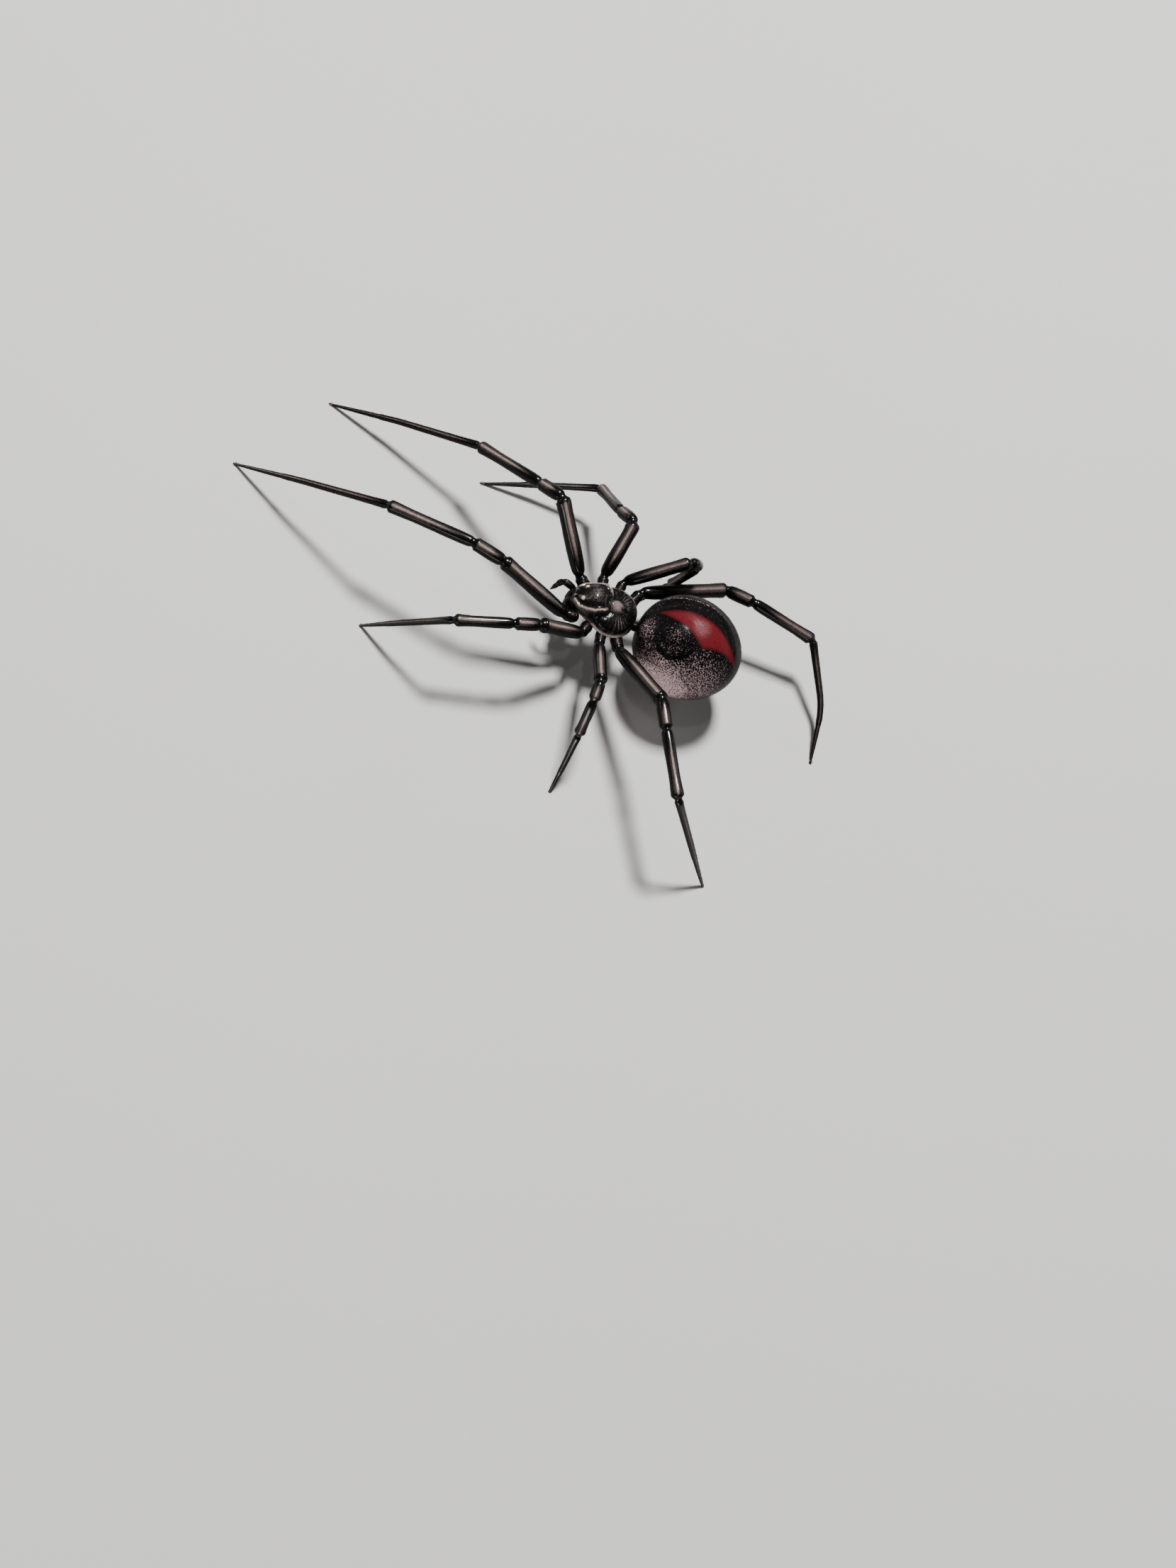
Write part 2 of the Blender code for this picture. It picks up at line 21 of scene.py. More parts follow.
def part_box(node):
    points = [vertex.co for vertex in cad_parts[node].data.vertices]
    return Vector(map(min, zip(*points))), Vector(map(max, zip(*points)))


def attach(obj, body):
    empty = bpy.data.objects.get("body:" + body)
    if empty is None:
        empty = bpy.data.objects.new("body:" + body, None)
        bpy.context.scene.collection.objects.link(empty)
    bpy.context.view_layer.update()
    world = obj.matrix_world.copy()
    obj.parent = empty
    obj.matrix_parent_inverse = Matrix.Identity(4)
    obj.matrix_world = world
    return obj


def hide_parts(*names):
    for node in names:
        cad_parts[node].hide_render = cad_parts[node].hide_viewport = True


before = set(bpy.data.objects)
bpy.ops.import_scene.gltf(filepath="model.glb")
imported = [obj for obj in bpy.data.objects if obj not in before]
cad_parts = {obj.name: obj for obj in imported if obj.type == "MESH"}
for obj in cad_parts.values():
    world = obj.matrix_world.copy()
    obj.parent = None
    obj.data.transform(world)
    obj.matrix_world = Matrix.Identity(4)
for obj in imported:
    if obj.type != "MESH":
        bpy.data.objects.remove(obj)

LOG = logging.getLogger("spider")
MM = 0.001
UP = Vector((0.0, 0.0, 1.0))
FLOOR_CLEARANCE = 0.03
CUT_PRECISION_M = 1e-7
LEAST_TURN = 1e-4

# Painted highlight: skin that faces the way below, up and a little toward the camera, is palest, and a limb
# gets a pale painted highlight line where it faces squarely. A spread is how squarely it faces where a tone
# begins and is full
HIGHLIGHT_FACING = Vector((0.3, -0.1, 0.95)).normalized()
HIGHLIGHT_SPREAD = (0.62, 1.0)
HIGHLIGHT_LINE_SPREAD = (0.98, 1.0)
HIGHLIGHT_LINE = 0.7

Colour = tuple[float, float, float]
Stations = tuple[tuple[float, float], ...]
Flat = tuple[float, float]
Flat3 = tuple[float, float, float]


class Side(Enum):
    """The two sides of the body, each with the sign of X there."""

    LEFT = 1
    RIGHT = -1

    @property
    def word(self) -> str:
        """Return the side's name as the pieces spell it."""
        return self.name.lower()

    def mirror(self, point: Iterable[float]) -> Vector:
        """Take a point given for the left side to this side."""
        x, y, z = point
        return Vector((x * self.value, y, z))


class Slot(Enum):
    """The material slots of the record."""

    BODY = "body_shell"
    LEG = "leg_shell"
    ABDOMEN = "abdomen_skin"
    FANG = "fang"
    EYE = "eye"


# Body, as in the frame
RIM_HEIGHT = 4.5
HEAD_FRONT_Y = -4.7
CARAPACE_LENGTH = 4.8
CARAPACE_WIDTH = 3.9
CARAPACE_HALF_WIDTHS: Stations = (
    (0.0, 0.56), (0.14, 0.64), (0.3, 0.68), (0.45, 0.85),
    (0.6, 1.0), (0.78, 0.99), (0.9, 0.9), (1.0, 0.68),
)
CARAPACE_TOPS: Stations = (
    (0.0, 0.75), (0.09, 0.88), (0.17, 1.14), (0.29, 1.62),
    (0.43, 1.44), (0.6, 1.0), (0.8, 0.86), (1.0, 0.4),
)
CARAPACE_DEPTHS: Stations = ((0.0, 0.15), (0.12, 0.5), (0.24, 1.1), (0.5, 1.3), (0.8, 1.15), (1.0, 0.2))
BLUNTNESS = 3.2
STERNUM_TAPER = 0.42
WAIST_HEIGHT = 4.1
ABDOMEN_CENTRE = Vector((0.15, 4.18, 4.62))
ABDOMEN_HALF = Vector((3.67, 3.88, 3.52))
ABDOMEN_REAR_TAPER = 0.05

# Legs, as in the frame
HIP_HEIGHT = 4.4
COXA_ROOT_HEIGHT = 3.9
BEND_RADIUS = 0.8
JOINT_GAP = 0.25
FOOT_OVERRUN = 0.5
ANKLE_SHARE = 0.55
ANKLE_BEND_RADIUS = 6.0
FOOT_BOW = 0.015


def waist_on_floor() -> Vector:
    """Find the body frame's zero from the abdomen's box.

    Returns:
        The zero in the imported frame, in metres.
    """
    low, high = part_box("abdomen")
    middle = (low + high) / 2
    return Vector((middle.x - ABDOMEN_CENTRE.x * MM, middle.y - ABDOMEN_CENTRE.y * MM, 0.0))


WAIST = waist_on_floor()


def placed(point: Iterable[float]) -> Vector:
    """Take a point of the body frame, in millimetres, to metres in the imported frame."""
    return WAIST + Vector(point) * MM


def measured(point: Vector) -> Vector:
    """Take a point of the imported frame, in metres, to millimetres in the body frame."""
    return (point - WAIST) / MM


def knot_slope(stations: Stations, knot: int) -> float:
    """Find the slope of a smooth curve at one of its stations.

    Args:
        stations: The curve's stations.
        knot: The station's number.

    Returns:
        The slope between the stations on either side.
    """
    start, first = stations[max(knot - 1, 0)]
    end, second = stations[min(knot + 1, len(stations) - 1)]
    return (second - first) / (end - start)


def smooth(stations: Stations, place: float) -> float:
    """Read a smooth curve through (place, value) stations.

    Args:
        stations: Places in rising order, each with the curve's value there.
        place: Where to read the curve.

    Returns:
        The curve's value.
    """
    index = min(max(bisect_right(stations, (place, math.inf)) - 1, 0), len(stations) - 2)
    (start, first), (end, second) = stations[index], stations[index + 1]
    span = end - start
    s = (place - start) / span
    return (
        (2 * s**3 - 3 * s**2 + 1) * first
        + (s**3 - 2 * s**2 + s) * span * knot_slope(stations, index)
        + (3 * s**2 - 2 * s**3) * second
        + (s**3 - s**2) * span * knot_slope(stations, index + 1)
    )


def bell(distance: float, width: float) -> float:
    """Return 1 at no distance, falling off as a bell curve of the given width."""
    return math.exp(-((distance / width) ** 2))


def step(low: float, high: float, value: float) -> float:
    """Return 0 below low and 1 above high, with a soft step between."""
    share = min(max((value - low) / (high - low), 0.0), 1.0)
    return share * share * (3.0 - 2.0 * share)


@dataclass(frozen=True)
class Swell:
    """A soft swelling: its height, below 0 for a hollow, its width, and where its middle lies."""

    height: float
    width: float
    middle: float = 0.0

    def at(self, distance: float) -> float:
        """Return how far the swelling stands out at a distance."""
        return self.height * bell(distance - self.middle, self.width)


def relief(swells: Iterable[Swell], distance: float) -> float:
    """Return how far swellings that share a line stand out at a distance from it."""
    return sum(swell.at(distance) for swell in swells)


def distance_to_line(line: Sequence[Flat], x: float, y: float) -> float:
    """Return how far a flat point is from a line of straight runs.

    Args:
        line: The line's corners.
        x: The point's first coordinate.
        y: The point's second coordinate.

    Returns:
        The shortest distance.
    """
    nearest = math.inf
    for (ax, ay), (bx, by) in zip(line, line[1:]):
        run_x, run_y = bx - ax, by - ay
        share = ((x - ax) * run_x + (y - ay) * run_y) / (run_x**2 + run_y**2)
        share = min(max(share, 0.0), 1.0)
        nearest = min(nearest, math.hypot(x - ax - share * run_x, y - ay - share * run_y))
    return nearest


@dataclass(frozen=True)
class Ring:
    """One cross section of a round skin."""

    distance: float
    centre: Vector
    direction: Vector
    radius: float


class BentPath:
    """Straight runs joined by round bends, read by distance along the path."""

    ARC_STEPS = 12
    SHARE_OF_RUN = 0.45
    STRAIGHT = math.radians(0.5)
    REACH = 0.12
    INSET = 0.13

    def __init__(self, corners: Sequence[Vector], bend_radii: Sequence[float] = ()) -> None:
        """Round each inner corner with its radius.

        Args:
            corners: The path's ends and corners.
            bend_radii: One radius for each inner corner.
        """
        self.points = [corners[0]]
        self.bends: list[float] = []
        for before, corner, after, radius in zip(corners, corners[1:], corners[2:], bend_radii):
            self._add_bend(before, corner, after, radius)
        self.points.append(corners[-1])
        runs = self._runs()
        self.places = [sum(runs[:count]) for count in range(len(runs) + 1)]
        self.length = self.places[-1]

    def _runs(self) -> list[float]:
        """Return the length of each run laid down so far."""
        return [(end - start).length for start, end in zip(self.points, self.points[1:])]

    def _add_bend(self, before: Vector, corner: Vector, after: Vector, bend_radius: float) -> None:
        """Lay a round bend in a corner and note the place of its middle.

        Args:
            before: The corner before it.
            corner: The corner.
            after: The corner after it.
            bend_radius: The bend's radius, where the runs are long enough for it.
        """
        inward = (corner - before).normalized()
        outward = (after - corner).normalized()
        turn = inward.angle(outward)
        if turn < self.STRAIGHT:
            self.points.append(corner)
            self.bends.append(sum(self._runs()))
            return
        shorter = min((corner - before).length, (after - corner).length)
        lead = min(bend_radius * math.tan(turn / 2), self.SHARE_OF_RUN * shorter)
        radius = lead / math.tan(turn / 2)
        centre = corner + (outward - inward).normalized() * (radius / math.cos(turn / 2))
        arm = corner - inward * lead - centre
        axis = inward.cross(outward)
        for count in range(self.ARC_STEPS + 1):
            spoke = Matrix.Rotation(turn * count / self.ARC_STEPS, 3, axis) @ arm
            self.points.append(centre + spoke)
            if count * 2 == self.ARC_STEPS:
                self.bends.append(sum(self._runs()))

    def at(self, distance: float) -> Vector:
        """Find the point at a distance along the path.

        Args:
            distance: The distance, which may lie a little past either end.

        Returns:
            The point.
        """
        index = min(max(bisect_right(self.places, distance) - 1, 0), len(self.points) - 2)
        run = self.places[index + 1] - self.places[index]
        share = (distance - self.places[index]) / run if run else 0.0
        return self.points[index].lerp(self.points[index + 1], share)

    def direction(self, distance: float) -> Vector:
        """Return the path's direction at a distance, evened over a short reach."""
        return (self.at(distance + self.REACH) - self.at(distance - self.REACH)).normalized()

    def ring(self, distance: float, radius: float, inset: float = 0.0) -> Ring:
        """Cut a cross section of a limb.

        Args:
            distance: Its place along the path.
            radius: Its radius.
            inset: How far inside the path's ends its direction is read.

        Returns:
            The cross section.
        """
        inner = min(max(distance, inset), self.length - inset)
        return Ring(distance, self.at(distance), self.direction(inner), radius)


class PlaceFinder:
    """Finds the distance along a path at which it passes nearest to a point."""

    SAMPLES = 600

    def __init__(self, path: BentPath) -> None:
        """Sample the path.

        Args:
            path: The path.
        """
        self.length = path.length
        self.tree = KDTree(self.SAMPLES + 1)
        for index in range(self.SAMPLES + 1):
            self.tree.insert(path.at(path.length * index / self.SAMPLES), index)
        self.tree.balance()

    def find(self, point: Vector) -> float:
        """Return the distance along the path."""
        return self.length * self.tree.find(point)[1] / self.SAMPLES


def deselect_all() -> None:
    """Leave the frame's nodes and the finished pieces out of what comes next."""
    bpy.ops.object.select_all(action="DESELECT")


def apply_place(piece: bpy.types.Object) -> None:
    """Move a piece's place, turn and scale into its mesh.

    Args:
        piece: The piece.
    """
    deselect_all()
    piece.select_set(True)
    bpy.context.view_layer.objects.active = piece
    bpy.ops.object.transform_apply(location=True, rotation=True, scale=True)


def take_primitive(name: str) -> bpy.types.Object:
    """Name the primitive that was just added and move its place into its mesh.

    Args:
        name: The piece's name.

    Returns:
        The piece.
    """
    piece = bpy.context.object
    piece.name = name
    piece.data.name = name
    apply_place(piece)
    return piece


@contextmanager
def edit_mode(piece: bpy.types.Object) -> Iterator[None]:
    """Open a piece for editing with all of it selected, and close it again.

    Args:
        piece: The piece.

    Yields:
        Nothing, while the piece is open.
    """
    bpy.context.view_layer.objects.active = piece
    bpy.ops.object.mode_set(mode="EDIT")
    bpy.ops.mesh.select_all(action="SELECT")
    yield
    bpy.ops.object.mode_set(mode="OBJECT")


def subdivide_once(piece: bpy.types.Object) -> None:
    """Round a piece with one applied level of Subdivision Surface.

    Args:
        piece: The piece.
    """
    rounding = piece.modifiers.new("rounding", "SUBSURF")
    rounding.levels = 1
    rounding.render_levels = 1
    bpy.context.view_layer.objects.active = piece
    bpy.ops.object.modifier_apply(modifier=rounding.name)


def join_pieces(name: str, pieces: Sequence[bpy.types.Object]) -> bpy.types.Object:
    """Join pieces into one object.

    Args:
        name: The new name.
        pieces: The pieces, which are used up.

    Returns:
        The joined piece.
    """
    deselect_all()
    for piece in pieces:
        piece.select_set(True)
    bpy.context.view_layer.objects.active = pieces[0]
    bpy.ops.object.join()
    joined = bpy.context.view_layer.objects.active
    joined.name = name
    joined.data.name = name
    return joined


def turn_selected(before: Vector, after: Vector, centre: Vector) -> None:
    """Turn the selected disc about its centre.

    Args:
        before: The direction that the disc faces.
        after: The direction that it is to face.
        centre: The disc's centre, in metres.
    """
    angle = before.angle(after)
    if angle < LEAST_TURN:
        return
    axis = before.cross(after)
    bpy.ops.transform.rotate(
        value=angle,
        orient_axis="Z",
        orient_type="GLOBAL",
        orient_matrix=axis.to_track_quat("Z", "Y").to_matrix(),
        orient_matrix_type="GLOBAL",
        constraint_axis=(False, False, True),
        center_override=centre,
    )


def grow_skin(name: str, rings: Sequence[Ring], sides: int) -> bpy.types.Object:
    """Grow a closed round skin by extruding, turning and resizing a disc along its rings.

    Args:
        name: The piece's name.
        rings: The cross sections in order.
        sides: How many sides the disc has.

    Returns:
        The skin, with its place in its mesh.
    """
    first = rings[0]
    deselect_all()
    bpy.ops.mesh.primitive_circle_add(
        vertices=sides,
        radius=first.radius * MM,
        fill_type="TRIFAN",
        location=placed(first.centre),
        rotation=first.direction.to_track_quat("Z", "Y").to_euler(),
    )
    piece = take_primitive(name)
    with edit_mode(piece):
        for before, ring in zip(rings, rings[1:]):
            centre = placed(ring.centre)
            move = (ring.centre - before.centre) * MM
            bpy.ops.mesh.extrude_region_move(TRANSFORM_OT_translate={"value": move})
            turn_selected(before.direction, ring.direction, centre)
            factor = ring.radius / before.radius
            bpy.ops.transform.resize(value=(factor, factor, factor), center_override=centre)
        bpy.ops.mesh.select_all(action="SELECT")
        bpy.ops.mesh.normals_make_consistent(inside=False)
    subdivide_once(piece)
    bpy.ops.object.shade_smooth()
    return piece


def taper(name: str, path: BentPath, radii: Stations, count: int, sides: int) -> bpy.types.Object:
    """Grow a skin along a whole path.

    Args:
        name: The piece's name.
        path: The skin's middle line.
        radii: The skin's radius by share of the path's length.
        count: How many rings it has.
        sides: How many sides each ring has.

    Returns:
        The skin.
    """
    shares = [index / (count - 1) for index in range(count)]
    rings = [path.ring(share * path.length, smooth(radii, share), path.INSET) for share in shares]
    return grow_skin(name, rings, sides)


def cut_at_floor(piece: bpy.types.Object) -> None:
    """Cut a piece level with the floor and close the cut with a small flat.

    Args:
        piece: The piece.
    """
    with edit_mode(piece):
        bpy.ops.mesh.bisect(
            plane_co=(0.0, 0.0, 0.0), plane_no=UP, use_fill=True, clear_inner=True, threshold=CUT_PRECISION_M
        )


def carve_ball(
    name: str, form: Callable[[Vector], Vector], segments: int, rings: int
) -> bpy.types.Object:
    """Carve a sphere, whose poles lie fore and aft, into an organic form.

    The form is a smooth relief that no edit operator gives, so once the sphere is
    turned its points are moved one by one, as a carver would.

    Args:
        name: The piece's name.
        form: Takes a unit point to its place in the body frame.
        segments: How many points go round.
        rings: How many rings go from pole to pole.

    Returns:
        The carved piece.
    """
    deselect_all()
    bpy.ops.mesh.primitive_uv_sphere_add(
        segments=segments, ring_count=rings, radius=1.0, rotation=(math.radians(90.0), 0.0, 0.0)
    )
    piece = take_primitive(name)
    for vertex in piece.data.vertices:
        vertex.co = placed(form(vertex.co.normalized()))
    with edit_mode(piece):
        bpy.ops.mesh.normals_make_consistent(inside=False)
    bpy.ops.object.shade_smooth()
    return piece


def paint(piece: bpy.types.Object, name: str, tones: Sequence[float]) -> None:
    """Give the points of a piece the numbers that its finish reads under a name."""
    piece.data.attributes.new(name, "FLOAT", "POINT").data.foreach_set("value", tones)


def paint_points(piece: bpy.types.Object, name: str, tone: Callable[[Vector], float]) -> None:
    """Paint a piece with a tone that goes by place in the body frame."""
    paint(piece, name, [tone(measured(vertex.co)) for vertex in piece.data.vertices])


def paint_shell(
    piece: bpy.types.Object,
    joint: Callable[[Vector], float],
    edge: Callable[[Vector], float] = lambda point: 0.0,
    spread: Flat = HIGHLIGHT_SPREAD,
) -> None:
    """Paint the three tones that a shell finish reads: "joint", "edge" and "top", which place its painted
    highlight.

    Args:
        piece: The piece.
        joint: Takes a point to how black its skin stays, which holds back the painted highlight.
        edge: Takes a point to how strong the pale painted highlight line on a raised edge is.
        spread: How squarely the surface faces up where the brown painted highlight on its top begins and
            where it is full.
    """
    paint_points(piece, "joint", joint)
    paint_points(piece, "edge", edge)
    # The top tone places the brown painted highlight on skin that faces up.
    paint(piece, "top", [step(*spread, vertex.normal.dot(HIGHLIGHT_FACING)) for vertex in piece.data.vertices])


def paint_limb(
    piece: bpy.types.Object,
    joint: Callable[[Vector], float],
    onward: Callable[[Vector], Vector],
    highlight_line: float,
) -> None:
    """Paint the three tones of a shell finish on a limb, with a pale painted highlight line along its top.

    Args:
        piece: The piece.
        joint: Takes a point to how black its skin stays.
        onward: Takes a point to its limb's direction, square to which its top is found.
        highlight_line: How pale the painted highlight line is.
    """
    joints, edges, tops = [], [], []
    for vertex in piece.data.vertices:
        point = measured(vertex.co)
        facing = vertex.normal.dot((HIGHLIGHT_FACING - HIGHLIGHT_FACING.project(onward(point))).normalized())
        joints.append(joint(point))
        # Pale painted highlight line along the limb's top, and the brown painted highlight over its top.
        edges.append(highlight_line * (1.0 - joints[-1]) * step(*HIGHLIGHT_LINE_SPREAD, facing))
        tops.append(step(*HIGHLIGHT_SPREAD, facing))
    for name, tones in (("joint", joints), ("edge", edges), ("top", tops)):
        paint(piece, name, tones)


def finish_piece(
    piece: bpy.types.Object, material: bpy.types.Material, nodes: Sequence[str] = ()
) -> None:
    """Dress a piece, let it ride on the root, hide the frame's nodes that it replaces and report it.

    Args:
        piece: The finished mesh.
        material: Its finish.
        nodes: The frame's nodes that it replaces.
    """
    piece.data.materials.clear()
    piece.data.materials.append(material)
    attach(piece, "root")
    if nodes:
        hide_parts(*nodes)
    LOG.info("%s: %d faces", piece.name, len(piece.data.polygons))


class Wire:
    """One output of a shader node, with the operators that the finishes use."""

    def __init__(self, graph: "Graph", socket: bpy.types.NodeSocket) -> None:
        """Wrap a node's output socket."""
        self.graph = graph
        self.socket = socket

    def __add__(self, other: "Wire | float") -> "Wire":
        """Add."""
        return self.graph.maths("ADD", self, other)

    def __radd__(self, other: float) -> "Wire":
        """Add to a number."""
        return self.graph.maths("ADD", other, self)

    def __sub__(self, other: "Wire | float") -> "Wire":
        """Take away."""
        return self.graph.maths("SUBTRACT", self, other)

    def __rsub__(self, other: float) -> "Wire":
        """Take from a number."""
        return self.graph.maths("SUBTRACT", other, self)

    def __mul__(self, other: "Wire | float") -> "Wire":
        """Multiply."""
        return self.graph.maths("MULTIPLY", self, other)

    def __rmul__(self, other: float) -> "Wire":
        """Multiply a number."""
        return self.graph.maths("MULTIPLY", other, self)

    def __pow__(self, other: "Wire | float") -> "Wire":
        """Raise to a power."""
        return self.graph.maths("POWER", self, other)

    def __abs__(self) -> "Wire":
        """Take the size without the sign."""
        return self.graph.maths("ABSOLUTE", self)


class Graph:
    """A material's nodes, written as expressions. The numbers name sockets of its nodes."""

    OBJECT_COORDINATES = 3
    ATTRIBUTE_FACTOR = 2
    VECTOR_NUMBER = 1
    MIX_FIRST = 6
    MIX_SECOND = 7
    MIX_COLOUR = 2

    def __init__(self, name: str) -> None:
        """Start a material with its plain shader.

        Args:
            name: The material's name.
        """
        self.material = bpy.data.materials.new(name)
        self.material.use_nodes = True
        self.nodes = self.material.node_tree.nodes
        self.links = self.material.node_tree.links
        self.shader = self.nodes["Principled BSDF"]

    def node(
        self, kind: str, settings: dict | None = None, inputs: dict | None = None, output: int = 0
    ) -> Wire:
        """Add a node.

        Args:
            kind: The node's type.
            settings: Its properties.
            inputs: Values or wires for its sockets, by name or number.
            output: The number of the output to return.

        Returns:
            The wire of that output.
        """
        made = self.nodes.new(kind)
        for key, value in (settings or {}).items():
            setattr(made, key, value)
        for key, value in (inputs or {}).items():
            self.feed(made.inputs[key], value)
        return Wire(self, made.outputs[output])

    def feed(self, socket: bpy.types.NodeSocket, value: "Wire | float | Sequence[float]") -> None:
        """Link a wire to a socket, or set the socket's own value.

        Args:
            socket: The socket.
            value: The wire, number, vector or colour.
        """
        if isinstance(value, Wire):
            self.links.new(value.socket, socket)
        elif socket.type == "RGBA" and len(value) == 3:
            socket.default_value = (*value, 1.0)
        else:
            socket.default_value = value

    def maths(self, operation: str, *values: "Wire | float") -> Wire:
        """Add a Math node."""
        return self.node("ShaderNodeMath", {"operation": operation}, dict(enumerate(values)))

    def least(self, first: Wire, second: "Wire | float") -> Wire:
        """Return the smaller of two values."""
        return self.maths("MINIMUM", first, second)

    def most(self, first: Wire, second: "Wire | float") -> Wire:
        """Return the larger of two values."""
        return self.maths("MAXIMUM", first, second)

    def clamp(self, value: Wire) -> Wire:
        """Keep a value between 0 and 1."""
        return self.node("ShaderNodeClamp", inputs={"Value": value})

    def step(self, value: Wire, low: float, high: float) -> Wire:
        """Return 0 below low and 1 above high, with a soft step between."""
        inputs = {"Value": value, "From Min": low, "From Max": high}
        return self.node("ShaderNodeMapRange", {"interpolation_type": "SMOOTHSTEP"}, inputs)

    def mix(self, share: "Wire | float", first: "Wire | Colour", second: "Wire | Colour") -> Wire:
        """Blend two colours."""
        inputs = {"Factor": share, self.MIX_FIRST: first, self.MIX_SECOND: second}
        return self.node("ShaderNodeMix", {"data_type": "RGBA"}, inputs, self.MIX_COLOUR)

    def from_point(self, place: Wire, point: Iterable[float]) -> Wire:
        """Return a place as seen from a point."""
        return self.node("ShaderNodeVectorMath", {"operation": "SUBTRACT"}, {0: place, 1: tuple(point)})

    def body_place(self) -> Wire:
        """Return the shaded point in the body frame, in millimetres."""
        shifted = self.from_point(self.node("ShaderNodeTexCoord", output=self.OBJECT_COORDINATES), WAIST)
        return self.node("ShaderNodeVectorMath", {"operation": "SCALE"}, {0: shifted, "Scale": 1 / MM})

    def split(self, vector: Wire) -> tuple[Wire, Wire, Wire]:
        """Part a vector into its three numbers.

        Args:
            vector: The vector.

        Returns:
            Its X, Y and Z.
        """
        made = self.nodes.new("ShaderNodeSeparateXYZ")
        self.feed(made.inputs[0], vector)
        return tuple(Wire(self, output) for output in made.outputs)

    def grain(self, place: Wire, size: float, detail: float = 2.0, stretch: float = 0.0) -> Wire:
        """Return fine noise, from 0 to 1, whose grains have a size in millimetres."""
        inputs = {"Vector": place, "Scale": 1 / size, "Detail": detail, "Distortion": stretch}
        return self.node("ShaderNodeTexNoise", inputs=inputs)

    def cells(self, place: Wire, size: float) -> Wire:
        """Return the distance to the middle of the nearest cell, for pits and pores."""
        return self.node("ShaderNodeTexVoronoi", inputs={"Vector": place, "Scale": 1 / size})

    def attribute(self, name: str) -> Wire:
        """Return a number painted on the piece."""
        return self.node("ShaderNodeAttribute", {"attribute_name": name}, output=self.ATTRIBUTE_FACTOR)

    def circle(self, across: Wire, along: Wire, centre: Flat) -> Wire:
        """Return the distance from a circle's centre in a flat projection."""
        return ((across - centre[0]) ** 2.0 + (along - centre[1]) ** 2.0) ** 0.5

    def near(self, place: Wire, middle: Iterable[float]) -> Wire:
        """Return the distance from a point in space."""
        inputs = {0: place, 1: tuple(middle)}
        return self.node("ShaderNodeVectorMath", {"operation": "DISTANCE"}, inputs, self.VECTOR_NUMBER)

    def stippled(self, place: Wire, size: float, tone: Wire) -> Wire:
        """Return 0 on dark dots and 1 between them, with dots that shrink as the tone rises.

        Args:
            place: The shaded point.
            size: The distance between dots in millimetres.
            tone: How pale the skin is, from 0 to 1.

        Returns:
            The pale skin between the dots.
        """
        ragged = self.cells(place, size) + 0.35 * (self.grain(place, size * 0.7, 1.0) - 0.5)
        return self.step(ragged + 0.85 * tone, 0.76, 1.0)

    def close(
        self,
        colour: "Wire | Colour",
        roughness: "Wire | float",
        height: Wire | None = None,
        depth: float = 0.01,
        coat: "Wire | float" = 0.0,
        **constants: float,
    ) -> bpy.types.Material:
        """Feed the shader and return the material.

        Args:
            colour: The base colour.
            roughness: The roughness.
            height: The relief, from 0 to 1.
            depth: The relief's depth in millimetres.
            coat: The weight of the glossy coat.
            constants: Values for other sockets, with spaces written as underscores.

        Returns:
            The finished material.
        """
        self.feed(self.shader.inputs["Base Color"], colour)
        self.feed(self.shader.inputs["Roughness"], roughness)
        self.feed(self.shader.inputs["Coat Weight"], coat)
        for key, value in constants.items():
            self.shader.inputs[key.replace("_", " ")].default_value = value
        if height is not None:
            normal = self.node("ShaderNodeBump", inputs={"Height": height, "Distance": depth * MM})
            self.feed(self.shader.inputs["Normal"], normal)
        return self.material


@dataclass(frozen=True)
class Trend:
    """A value that changes evenly with a mask: its start, and what it gains where the mask is 1."""

    start: float
    gain: float

    def along(self, mask: Wire) -> Wire:
        """Return the value for a mask."""
        return self.start + self.gain * mask


